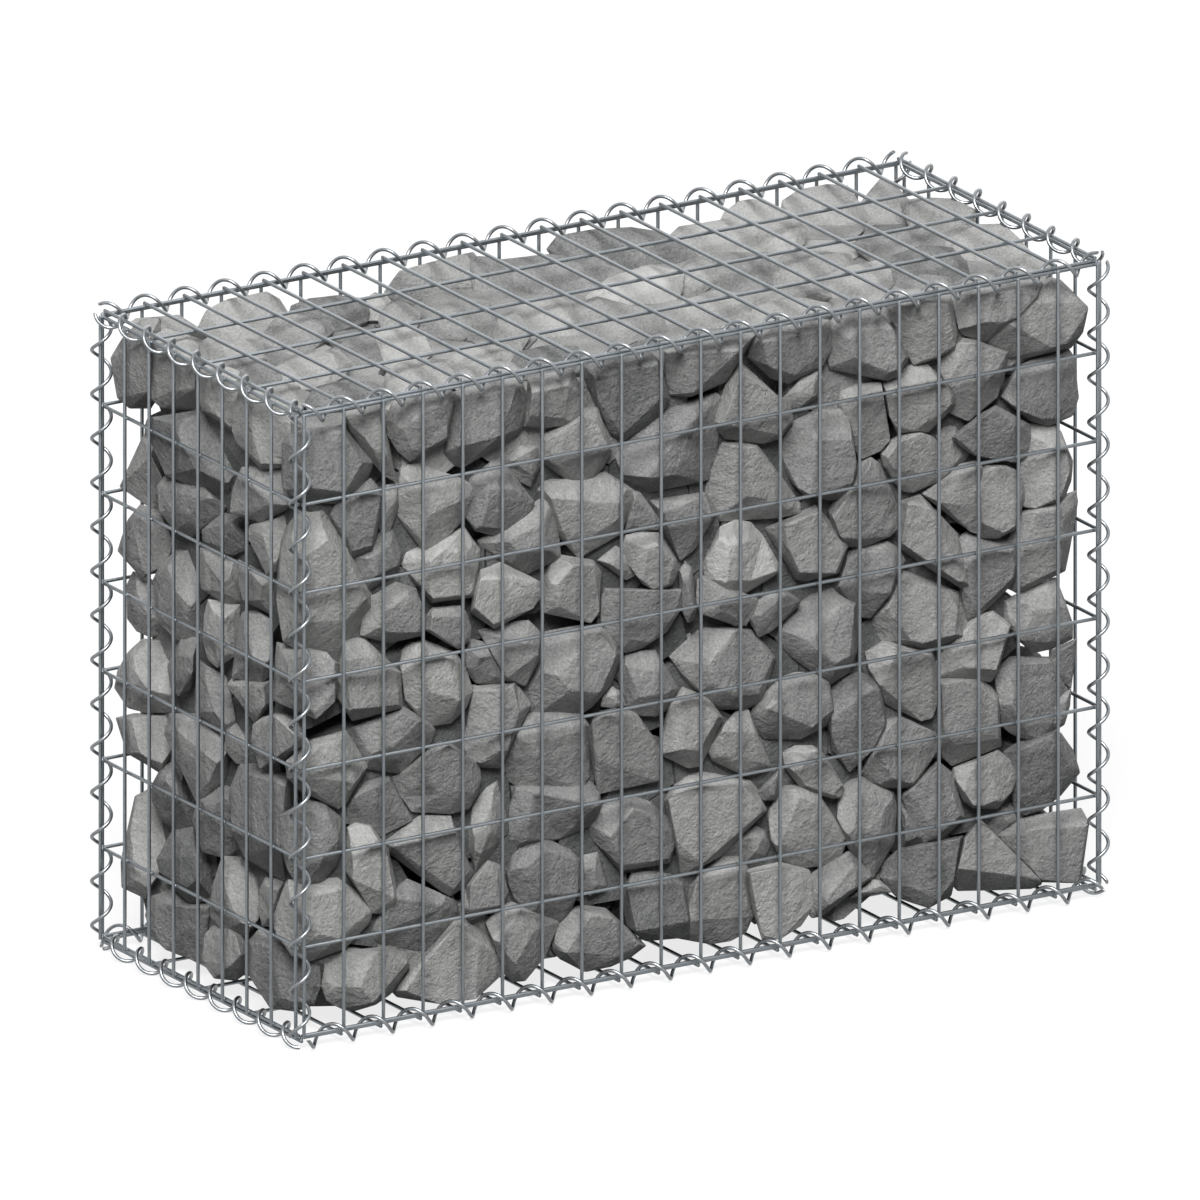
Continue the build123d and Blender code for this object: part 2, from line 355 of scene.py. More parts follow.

# %% [markdown]
# The stones that the picture shows are put where the picture has them. Each line below is one
# stone, read off the page: how far it stands back behind the skin of the fill in
# millimetres, the corners of its outline, and the corners of its flattest face. A corner is a
# page coordinate, with x to the right and y down. The three lists are the long face that the
# camera sees, the short end on its left, and the top.

# %% Stones seen on the long face
FRONT_STONES = """
0|288,880 312,892 337,878 350,885 364,897 371,910 369,922 358,936 345,947 310,960 292,955 275,930 274,915|290,900 312,896 345,888 369,912 338,938 312,932
4|305,800 325,802 340,818 343,845 335,865 318,885 300,888 288,870 280,840 280,815|295,812 325,808 338,840 318,862
0|289,433 308,428 343,427 358,445 372,462 366,478 352,498 335,503 300,500 284,488 281,465 282,442|290,445 340,431 362,462 345,492 312,488
5|343,412 380,404 386,425 392,460 396,482 383,475 368,458 352,435|350,418 378,410 388,455 372,448
0|393,402 405,395 425,392 448,388 454,395 450,420 447,439 432,446 418,458 410,461 397,450 388,435 386,420|400,423 422,410 448,405 446,437 424,450 411,449
0|455,392 480,383 512,380 522,385 528,400 524,425 515,435 480,455 462,467 455,465 443,452 447,440 450,415|462,400 516,387 500,436 458,446
0|528,378 555,372 572,368 578,380 582,395 580,415 570,423 545,427 524,426 528,400|532,392 545,393 568,385 563,425 529,424
0|355,492 370,478 382,492 382,510 377,532 372,549 350,557 345,545 330,515 335,505|337,513 362,490 380,497 373,532 371,545 352,551
14|385,485 397,482 399,505 395,520 390,530 382,540 378,525 383,500|386,495 396,500 385,520
10|345,552 372,549 383,530 392,530 401,552 398,570 380,582 368,590 355,575 348,560|360,560 390,545 397,565 370,578
0|400,468 412,462 430,468 460,478 472,485 475,498 468,512 450,530 428,557 420,550 405,528 397,515 399,495 397,480|403,475 458,481 469,496 416,521
4|445,535 463,527 479,550 478,570 474,596 450,599 431,602 420,590 405,570 400,563 403,552 425,545|430,561 463,533 465,560 472,594 433,598
0|470,478 490,462 500,458 515,475 527,490 534,502 525,516 510,530 495,535 475,530 465,515 473,498 468,485|483,490 512,488 520,500 503,528 476,526
14|505,458 520,445 538,446 540,465 535,480 530,487 520,482 505,466|512,460 530,450 532,475
3|538,440 545,432 575,415 583,408 597,408 606,430 611,450 603,466 590,479 580,483 568,480 548,465 537,458|545,440 592,412 608,448 545,457
4|478,540 500,535 525,515 533,503 545,495 555,510 558,545 560,558 545,563 527,573 515,570 500,555 480,545|517,524 540,502 548,550 505,550
2|370,596 385,590 395,582 415,588 422,605 428,625 420,635 405,640 390,642 375,637 360,635 362,620 370,605|391,592 417,592 420,604 402,608 420,632 378,632
0|300,512 322,508 345,530 358,560 372,595 373,612 352,640 338,655 315,658 300,650 283,640 277,600 282,550 290,525|303,520 328,515 366,598 345,620 298,622
2|432,607 460,605 466,612 470,625 469,640 458,649 450,646 430,635 422,628 425,615|433,612 459,612 467,638 455,646 430,630
0|480,570 500,562 520,573 540,582 541,595 532,608 512,620 494,628 486,625 470,612 470,600 474,585|480,580 515,577 528,583 510,593 493,624 474,607
4|505,630 515,621 528,620 540,632 541,645 538,660 530,680 525,685 505,680 500,665 488,645 478,630|505,638 528,645 538,655 506,677
10|470,638 485,642 507,678 500,683 475,683 465,670 463,650|472,660 490,655 498,680
0|345,640 358,637 363,637 380,655 390,665 400,672 402,685 401,707 385,712 352,720 347,715 332,690 335,670 340,655|345,660 374,656 396,672 399,706 352,717 354,695
0|402,650 410,642 425,640 440,648 455,652 465,668 472,690 465,707 450,722 432,725 420,718 405,700 402,685 400,665|404,684 421,679 448,660 459,700 424,645
2|352,727 395,708 402,706 420,720 430,722 435,730 430,742 415,760 400,773 385,773 365,768 358,752|372,732 402,712 419,721 392,747 377,744
0|312,740 345,730 362,757 367,766 355,785 345,803 338,808 320,800 300,790 288,778 285,762 295,752|293,762 318,745 346,738 354,783 340,780 295,778
10|350,800 365,780 388,775 398,790 412,820 405,825 385,835 375,838 360,825 345,822 344,812|354,796 382,797 390,780
0|392,777 400,772 415,760 438,742 450,743 462,755 478,765 480,780 476,795 468,808 450,813 435,812 412,811 400,795|422,762 448,745 470,762 476,790 442,794 425,777
0|472,685 485,682 515,682 525,695 530,705 520,730 512,745 505,760 500,767 482,766 468,760 463,745 465,720 468,700|475,700 513,684 519,712 505,758 478,757 467,742
12|480,780 500,770 505,790 508,815 502,840 485,862 475,873 470,862 466,840 468,810 472,795|473,815 490,800 490,830 476,865
0|520,722 528,712 560,711 580,714 588,725 587,750 588,775 580,788 560,793 540,790 517,785 507,780 502,765 505,745 518,730|523,729 577,718 582,727 542,751 545,775 577,784
4|515,785 545,795 577,790 588,780 598,790 600,805 595,815 590,825 560,838 530,845 515,848 505,838 508,810|517,790 543,806 580,800 597,806 550,813 525,840
0|347,828 355,823 370,825 380,838 388,850 393,875 398,900 395,910 388,913 372,912 352,882 345,870 345,850|352,830 369,828 386,850 394,897 372,886 353,880
0|412,820 420,815 450,815 458,830 462,845 470,862 472,872 465,885 450,895 440,890 420,870 388,852 383,842|392,846 430,838 455,832 470,870 450,892 426,872
0|512,855 525,843 545,838 570,850 580,860 582,880 578,895 570,910 560,920 535,918 515,900 508,885 506,870|510,882 531,887 545,850 578,860 577,892 538,895
4|487,860 500,865 508,890 503,905 490,912 470,920 460,905 465,885 478,870|470,885 487,862 497,880 500,905 470,910
6|397,885 405,878 412,880 440,895 455,900 458,912 450,925 435,945 425,949 385,947 374,943 370,935 372,920 390,905|398,888 414,882 440,896 442,907 395,918 378,932
0|430,950 452,920 465,920 480,930 500,950 505,960 500,975 490,985 475,998 455,1002 440,1003 420,998 398,996 392,990 405,975|404,990 433,952 455,926 478,943 462,997
0|325,965 345,950 385,947 405,953 409,965 400,982 390,993 375,1004 355,1010 342,1008 327,1000 322,985|346,966 382,950 406,963 373,1002 357,975
0|485,922 500,905 512,902 530,915 555,920 558,922 552,940 545,955 535,970 525,980 512,981 505,975 495,950|488,925 510,906 535,929 514,966
0|583,367 600,356 647,351 658,360 664,378 669,397 660,417 622,440 610,432 597,407 584,382|592,364 657,362 661,398 622,434 598,400
0|664,350 700,338 740,325 756,333 750,345 738,363 725,381 703,391 691,396 670,394 665,375|669,355 703,361 740,350 692,393 671,391
0|757,333 775,325 800,320 828,320 832,335 830,350 822,365 812,372 788,383 770,377 757,368 748,357 750,342|762,342 815,332 818,356 790,379 768,365
0|740,362 762,380 780,392 790,402 792,420 785,430 780,437 762,443 745,442 725,438 716,428 714,420 722,398 725,385|741,372 778,396 788,424 777,435 750,432 722,425
12|785,392 800,378 817,370 822,378 820,395 805,402 795,410 790,405 782,398|795,385 815,378 812,396
0|622,440 640,425 665,408 690,400 715,393 721,398 715,415 709,432 706,445 712,465 712,478 695,482 665,490 645,492 630,488 622,482 618,465 612,450|624,447 655,425 692,421 684,455 668,486 624,466
0|722,442 738,441 757,445 765,455 778,472 785,485 799,502 799,512 780,517 745,520 720,520 712,508 704,490 706,482 714,470 716,452|722,445 754,447 760,497 724,493 716,478
0|535,490 545,479 568,480 590,477 605,472 620,485 633,490 632,502 624,520 620,533 600,545 578,557 572,553 558,535 547,512|548,490 598,480 618,488 618,518 590,536 562,530
6|632,490 640,492 650,505 660,520 658,530 640,532 625,530 627,515|634,497 652,518 632,525
5|650,500 668,497 705,492 712,502 716,512 712,520 705,535 695,548 680,560 675,552 662,530 658,515|663,512 700,497 712,515 700,522 667,526
0|720,527 735,520 750,522 762,535 770,550 777,562 778,572 765,580 745,592 730,597 722,592 705,578 703,562 708,550 712,540|716,547 745,543 776,571 750,580 724,580
0|765,528 780,520 800,512 815,505 822,515 835,530 848,543 846,555 838,572 822,575 805,580 795,578 785,565 775,550 770,540|785,525 818,512 845,549 789,549 835,573 803,579
0|625,535 640,531 658,532 665,545 675,558 678,570 672,583 655,591 642,583 632,570 625,560 622,548|633,553 658,545 674,561 668,584 652,589 634,572
14|597,560 615,545 625,550 635,575 625,580 610,570|605,560 625,560 622,572
0|604,588 620,586 645,588 675,588 683,589 682,605 675,620 665,632 652,642 640,648 625,652 615,640 607,632 601,620 600,600|607,590 681,590 674,614 650,642 609,634
4|678,570 685,562 692,568 694,590 696,610 692,620 687,622 682,610 682,590|682,572 690,572 693,610
2|697,580 702,575 715,585 728,597 745,600 757,598 755,610 745,625 735,625 715,617 700,613 696,600|698,582 727,597 722,616 700,612
4|757,600 770,592 785,590 800,600 798,606 785,615 770,632 758,637 752,625 748,618|757,605 783,593 798,601 755,620
0|785,612 797,605 810,595 830,588 842,592 857,600 858,615 858,640 856,650 849,671 830,683 815,672 790,655 775,638 780,622|793,618 815,600 854,606 806,628 828,668 850,655
0|664,650 672,642 690,632 705,627 732,625 752,630 765,645 774,657 770,672 765,688 760,700 745,708 730,710 718,708 700,692 685,680 675,665|670,649 706,629 745,630 773,658 758,694 712,700 703,684
0|682,687 695,690 707,697 720,712 723,718 715,735 705,755 700,765 688,767 675,762 663,755 660,745 662,725 668,705|672,703 686,690 718,716 699,750 663,747
2|725,720 735,712 748,710 753,725 760,745 763,755 770,765 762,770 745,775 730,770 712,760 707,750 712,742 720,728|726,722 747,714 760,762 738,760 712,750
2|765,690 780,678 795,672 815,673 828,680 832,695 834,710 825,725 812,730 800,738 785,740 765,738 755,730 750,715 755,700|783,708 803,683 829,692 832,710 812,727 768,708
3|782,752 795,745 812,745 822,752 835,770 843,785 840,797 832,798 815,785 800,787 790,775 783,765|786,757 818,750 841,785 833,795 805,785
0|592,720 600,711 615,707 635,712 645,727 655,740 660,755 658,780 635,787 615,791 598,793 597,775 589,752 588,735|592,725 612,711 636,716 654,741 634,769 599,762
4|625,655 640,650 655,650 662,660 670,672 678,688 672,700 665,710 655,716 640,715 625,707 620,695 617,675 619,665|626,662 656,656 640,676 639,697 672,692
0|545,632 560,629 580,625 600,626 615,640 620,655 616,670 610,685 600,697 590,707 580,713 565,713 540,712 530,700 528,688 540,675 542,650|548,640 600,632 616,655 600,692 538,690
12|602,697 612,685 622,692 625,705 612,708 600,706|606,696 618,694 616,703
0|603,805 612,800 635,797 650,802 660,810 670,820 678,833 676,845 668,862 650,867 620,870 612,862 600,850 592,838 588,828 595,815|605,812 625,806 645,812 610,835 662,830 668,858 622,868
0|665,795 675,783 690,772 700,770 720,773 735,778 748,780 757,790 765,810 755,820 740,837 720,855 700,868 685,875 680,872 677,855 678,835 668,815 663,800|668,800 700,786 745,788 763,810 704,862 682,868
0|778,787 795,785 815,788 825,803 838,822 846,838 840,856 820,865 795,867 783,860 770,840 767,815 771,800|782,791 814,792 817,826 842,838 800,848 790,849 772,838
10|757,792 765,783 778,770 782,785 775,800 763,800|764,788 776,778 774,795
14|742,835 755,825 765,830 769,845 765,855 745,862 720,855 725,845|750,835 762,838 755,852
3|715,862 725,854 740,854 748,870 750,890 752,915 745,932 730,940 710,943 690,941 678,937 685,925 690,905 690,885 700,870|695,885 742,872 749,917 722,921 693,920
0|625,885 632,873 650,871 670,874 682,882 687,895 690,915 688,932 680,937 660,939 645,940 635,933 627,925 623,905|627,888 655,884 683,890 688,921 654,914 636,931
0|556,925 570,908 585,905 605,908 618,920 630,930 645,945 638,952 628,958 610,966 585,971 575,968 560,958 552,948|560,932 580,912 612,918 638,944 620,955 566,952
0|745,870 765,865 780,862 795,867 808,870 815,882 817,900 812,908 800,925 790,930 780,938 762,939 757,930 752,915 748,900 745,885|750,873 785,866 797,872 773,893 792,903 780,936 761,935
2|812,872 825,865 840,856 848,851 857,858 868,868 872,877 857,889 847,897 835,905 830,908 822,915 812,917 808,912 816,900|818,874 845,860 858,866 870,877 845,893 828,905
8|583,855 592,856 597,852 604,870 606,885 600,890 590,895 582,888|584,857 595,857 596,885 584,888
0|793,420 815,410 848,408 847,420 852,440 857,460 857,470 850,487 845,497 830,499 815,495 803,494 790,480 783,462 781,440 785,430|784,441 818,425 846,412 850,440 856,462 852,482 818,496 803,493
0|840,309 860,307 878,311 886,318 897,333 907,357 905,365 897,377 888,380 863,376 830,368 826,355 827,340 830,322|833,332 860,340 869,339 892,328 905,357 898,369 878,375 832,368
0|887,306 889,295 900,290 930,288 950,295 954,312 956,330 955,347 937,357 913,364 902,347 897,333|900,312 923,302 948,306 954,346 937,356 913,363 902,346
0|953,302 957,293 980,288 1010,284 1035,279 1042,284 1041,296 1034,309 1022,320 1014,323 984,342 970,338 960,333 955,320|956,320 989,320 1000,322 1015,318 1034,306 1038,286 956,300
2|1030,288 1042,281 1049,277 1060,280 1075,294 1087,307 1086,314 1082,332 1070,347 1052,351 1027,357 1008,357 997,348 986,342 1000,320|1041,296 1052,284 1078,305 1083,318 1066,343 1046,349 1012,352 990,342 1018,324
0|957,342 963,338 975,340 985,347 1007,352 1006,363 1002,382 996,397 980,412 968,420 950,412 955,400 953,390 945,380 939,370 938,360 948,350|941,362 957,344 977,343 1006,353 997,370 977,390 955,392 947,382
0|905,368 912,364 925,362 935,369 945,382 956,396 955,404 947,412 937,423 928,431 897,432 892,425 887,410 883,392 882,381 897,377|886,392 898,386 938,379 946,386 955,399 944,411 920,419 912,430 898,430 889,416
4|840,392 855,385 880,381 884,391 887,410 890,425 891,441 880,450 862,458 856,452 850,435 846,420 848,408 838,405|850,410 868,392 882,390 888,425 890,440 862,443 858,425
4|880,453 890,440 902,433 920,431 933,437 945,452 950,470 935,482 912,492 903,491 893,482 883,465|887,457 900,441 920,433 925,440 932,460 929,474 912,474 888,467
20|930,432 945,415 955,420 960,435 970,452 965,462 950,472 940,465 935,450|940,440 955,435 962,455 950,468
0|952,437 963,425 980,413 995,405 1010,412 1020,418 1029,424 1030,440 1026,455 1015,462 990,459 975,455 960,446|954,437 995,408 1018,420 1010,437 992,457 976,455
0|1001,396 1007,383 1017,367 1030,360 1050,356 1068,349 1074,358 1077,373 1078,397 1072,415 1060,420 1047,425 1030,420 1017,412|1004,397 1020,382 1052,368 1062,372 1066,400 1050,423 1020,410
0|1020,440 1028,424 1040,422 1053,425 1060,431 1068,446 1072,460 1070,480 1064,497 1057,503 1035,508 1022,505 1019,490 1018,465|1022,452 1045,447 1066,447 1069,472 1061,497 1035,507 1024,500
2|921,493 933,485 945,474 960,464 975,460 982,466 984,480 984,510 982,534 970,531 955,520 940,508 930,500|940,502 978,507 978,468 950,480
0|978,473 985,465 1005,465 1015,470 1023,482 1024,497 1020,518 1015,528 998,537 982,537 977,530 976,500|980,485 1000,468 1015,474 1022,500 1015,526 998,536 982,535
0|858,473 861,461 870,457 878,463 886,482 897,505 897,528 890,535 863,546 848,546 840,537 830,523 828,510 836,502 848,498 852,487|833,518 858,490 872,462 889,500 880,514 878,529 861,539 840,537
0|898,502 907,497 920,494 932,507 945,520 957,533 963,555 970,587 963,589 937,573 920,562 900,549 897,535|901,543 908,503 930,508 940,520 953,555 967,584 957,581 930,558
3|957,538 967,531 985,535 1000,538 1017,542 1019,560 1015,580 1007,588 990,604 977,618 967,621 964,612 958,590 960,565|962,545 1010,552 1015,563 1013,577 979,610 971,609 963,600
2|1003,543 1015,528 1020,511 1040,506 1057,503 1064,496 1075,491 1077,502 1072,538 1068,557 1065,570 1057,575 1022,590 1012,589 1010,565|1023,515 1057,508 1063,516 1060,568 1022,586 1017,560 1012,545
4|1003,600 1010,595 1030,587 1055,577 1058,579 1062,592 1068,608 1072,623 1072,638 1052,648 1033,652 1022,643 1013,635 1005,622|1018,612 1033,615 1055,608 1065,606 1071,636 1048,642 1036,640 1022,641
0|898,568 908,570 923,578 943,587 958,592 963,605 967,622 970,638 957,643 937,648 920,650 908,647 897,640 882,641 873,628 870,617 882,612 893,593|885,612 900,618 911,640 922,643 936,638 955,634 958,610 948,592 915,582 900,580
3|847,552 855,546 867,543 887,541 897,548 905,560 898,580 893,593 882,606 870,617 863,617 858,600 848,592 835,589 836,580|846,562 865,550 890,552 895,575 890,593 874,590 850,590 838,586
2|865,652 872,645 882,641 897,641 908,647 920,650 932,652 936,665 937,700 932,717 920,720 902,714 893,708 885,703 878,685 870,675|866,656 880,646 905,652 929,654 922,680 918,706 902,706 893,700 879,684
0|968,622 980,614 992,611 1002,617 1010,625 1008,638 1002,653 997,670 990,681 980,677 960,678 940,676 936,663 940,652 957,646 968,640|941,656 968,640 972,622 992,612 1009,627 1002,652 996,669 977,665 963,662 942,665
0|938,678 960,676 982,678 990,684 998,695 999,713 1000,730 1000,745 980,755 952,765 943,757 937,743 936,720 936,695|941,684 962,680 985,690 997,700 998,738 978,741 945,746
0|993,677 1000,665 1010,657 1030,655 1053,657 1063,672 1070,690 1068,705 1062,720 1052,732 1040,738 1032,742 1022,737 1010,733 1001,724 999,705|998,678 1018,664 1048,662 1060,690 1054,720 1042,735 1032,741 1020,722 1012,705
6|1050,650 1060,643 1077,637 1078,645 1076,662 1071,688 1060,680 1050,668|1060,650 1074,642 1072,668 1064,672
8|1050,700 1062,692 1071,688 1070,705 1064,724 1058,728 1048,722|1058,705 1067,695 1062,720
0|829,690 840,679 858,672 872,678 880,687 884,702 886,725 880,742 868,757 858,765 849,771 840,762 831,748 827,730 826,710|832,712 846,694 858,682 878,690 885,724 872,750 862,760 840,757 831,735
0|885,720 900,716 923,727 935,733 937,750 933,760 923,775 913,787 897,789 883,787 868,780 862,772 866,760 878,745|886,730 899,718 925,728 920,752 914,782 894,786 881,770 870,767
1|838,790 850,780 862,777 880,785 893,793 896,807 894,825 893,842 885,857 877,873 872,878 862,862 850,852 844,842 842,830 836,818 835,803|838,816 846,795 862,782 887,794 882,815 879,834 861,833 846,829
10|847,899 858,889 872,879 880,880 892,891 870,895|860,890 880,885 870,893
1|937,761 943,765 952,773 957,787 963,807 964,817 957,823 942,838 930,842 923,842 915,833 908,815 901,799 903,792 913,786 923,777 930,767|903,797 937,766 946,776 938,800 960,815 935,837 922,838 915,813
12|899,800 910,800 918,815 924,838 925,843 915,846 901,848 898,825|905,815 918,835 905,843
0|953,767 968,762 980,758 987,753 998,750 1010,760 1016,778 1012,790 1000,803 997,808 972,807 963,800 958,787 952,774|955,770 983,758 990,765 994,785 997,806 973,805 961,788
1|1003,752 1012,745 1020,740 1033,743 1045,732 1053,730 1060,733 1072,750 1079,772 1072,783 1060,795 1043,808 1025,814 1015,812 1014,800 1017,780 1010,760|1020,750 1045,738 1053,734 1059,761 1070,762 1035,781 1020,801
0|900,847 920,844 937,842 962,836 958,860 955,880 950,895 938,902 928,907 910,902 897,897 890,890 880,878 882,863 888,855|885,868 898,850 960,838 953,880 938,899 922,887 900,883
0|962,840 972,826 980,819 985,821 997,833 1017,853 1028,867 1041,880 1040,884 1030,888 995,890 958,890 953,885 957,868|978,822 990,830 1039,879 1000,875 977,871 958,868 965,838
0|998,835 1010,825 1022,817 1038,813 1060,810 1080,808 1088,823 1085,847 1080,878 1077,882 1060,882 1040,881 1028,867 1017,853|1018,850 1028,830 1045,828 1062,827 1086,826 1078,872 1060,868 1048,870 1040,879
25|985,815 1000,800 1020,800 1035,812 1015,822 1000,833 990,825|1000,808 1015,812 1005,825
2|548,565 560,555 575,556 592,560 600,572 601,590 598,612 590,622 570,618 552,615 543,612 541,600 543,580|556,566 594,564 596,590 590,612 560,606
"""
print("stones on the long face:", len(FRONT_STONES.strip().splitlines()))

# %% [markdown]
# The short end is seen from far to the side, so its stones look narrow on the page. Their real
# shape comes back when the lines of the page meet the end of the basket.

# %% Stones seen on the short end
LEFT_STONES = """
0|140,321 123,338 111,358 113,380 117,396 129,406 150,406 154,395 156,345 158,320|122,345 147,342 148,391 128,391
4|152,338 152,398 162,406 199,409 201,392 199,360 185,335 165,330|156,350 172,362 173,391 194,388 194,362
6|197,370 197,395 203,409 222,424 233,431 238,415 243,388 238,372 215,362|210,382 234,388 235,411 224,418
0|240,388 234,410 233,430 236,440 250,455 260,467 283,465 296,440 295,420 283,405 260,393|247,405 268,412 272,455 261,463 246,440
0|152,419 200,411 224,424 246,452 247,463 229,500 219,498 167,474 152,441|189,450 222,461 197,430 162,440
10|142,438 155,440 168,478 170,490 161,508 152,508 127,493 120,486 127,470|137,462 150,455 162,478 138,478
6|165,477 192,475 223,500 230,507 222,520 200,528 190,537 175,530 160,510 158,487|181,488 221,506 199,514
4|242,468 233,490 231,511 245,517 260,521 290,508 298,500 297,480 282,466 262,470|245,478 280,480 260,517 290,500
0|140,505 128,520 124,540 118,550 125,560 142,577 158,568 168,556 172,540 165,520 160,512|133,528 140,555 163,550 160,520
8|222,513 240,516 246,530 246,550 232,555 215,550 203,540 202,530 210,522|212,527 230,522 240,545 232,552
8|250,525 262,520 285,512 290,520 283,545 276,570 266,573 255,550 247,535|255,530 280,525 270,568
4|190,548 197,562 199,590 197,630 185,640 175,637 160,622 155,600 153,580 160,566 175,552|170,565 192,562 190,600 170,600
10|133,572 148,580 154,585 157,605 160,625 165,630 150,636 136,630 127,618 125,600 127,585|140,582 152,590 150,605 133,595
6|200,548 222,552 238,560 240,580 240,600 227,604 220,601 202,588 198,570|205,560 222,566 222,592
8|238,560 255,572 272,578 273,600 270,613 255,606 243,600 239,585|245,572 262,585 258,600
0|208,600 220,602 240,605 238,620 233,655 217,666 208,658 203,640 204,615|210,607 222,620 220,642 206,634
0|243,612 258,612 270,620 272,645 268,675 260,682 245,680 232,676 235,645 239,620|246,622 265,622 267,645 241,645
0|142,640 160,641 170,655 172,690 172,710 145,711 128,706 115,687 118,670 128,653|140,655 160,652 167,667 141,667
6|180,640 197,637 197,670 190,688 178,695 170,685 167,665 175,650|178,655 193,655 192,672 175,680
4|197,660 215,668 225,675 227,695 236,722 225,732 210,722 195,712 194,690|200,675 222,677 225,710 210,715
4|232,678 245,681 270,680 272,700 258,719 254,722 243,702 227,685|237,686 262,686 265,705 250,712
0|262,718 280,712 295,718 303,730 300,752 285,757 270,765 260,767 252,740 253,725|262,725 275,716 280,750 300,740
0|277,643 300,655 325,653 333,663 333,700 315,717 292,707 273,699 274,665|293,676 306,670 305,688 325,665
0|116,718 135,714 165,716 172,740 172,750 160,772 142,760 127,752 122,735|128,722 160,722 163,742 142,753
0|170,715 195,715 222,733 232,755 225,780 205,798 196,800 180,768 165,735|177,725 197,735 222,748 205,790
18|225,731 236,723 248,735 251,750 248,765 235,762 225,750|236,727 245,742 230,738
0|240,767 262,765 290,775 300,800 295,840 288,870 284,879 268,868 245,855 233,830 231,790|250,775 285,785 280,845 252,845
4|218,788 235,785 238,800 240,835 240,850 222,856 203,850 193,825 192,818 200,800|205,805 225,800 235,825 205,822
8|160,770 172,762 180,775 192,800 196,812 190,826 175,828 162,820 152,800 152,785|165,780 178,795 170,815
0|135,798 150,790 153,805 165,832 172,850 160,870 148,882 145,896 122,885 121,860 128,830|138,802 150,805 163,835 155,868 135,855
4|172,832 192,828 205,850 217,870 212,897 200,900 190,903 175,890 160,872 157,860|166,850 195,855 196,879 187,887
4|152,897 172,890 185,900 212,902 213,920 205,945 202,962 185,957 165,948 152,935 146,915|165,903 180,915 205,910 165,920
0|222,857 240,858 258,880 262,905 258,920 245,935 222,928 211,915 213,885|220,880 240,880 255,905 255,917 225,911
12|265,878 285,880 283,900 275,925 262,925 258,910 259,890|264,885 277,890 270,915
0|218,920 232,928 245,935 250,950 247,970 235,979 214,977 202,960 205,935|212,935 235,935 240,955 230,965 206,958
0|260,930 275,940 300,955 318,965 318,985 312,1003 295,1009 270,1006 250,975 247,945|262,945 290,955 297,985 268,985
"""
print("stones on the short end:", len(LEFT_STONES.strip().splitlines()))

# %% [markdown]
# The top is seen at a low angle, through the lid. The stones at its back show the most of
# themselves, and those nearer hide the foot of the ones behind them.

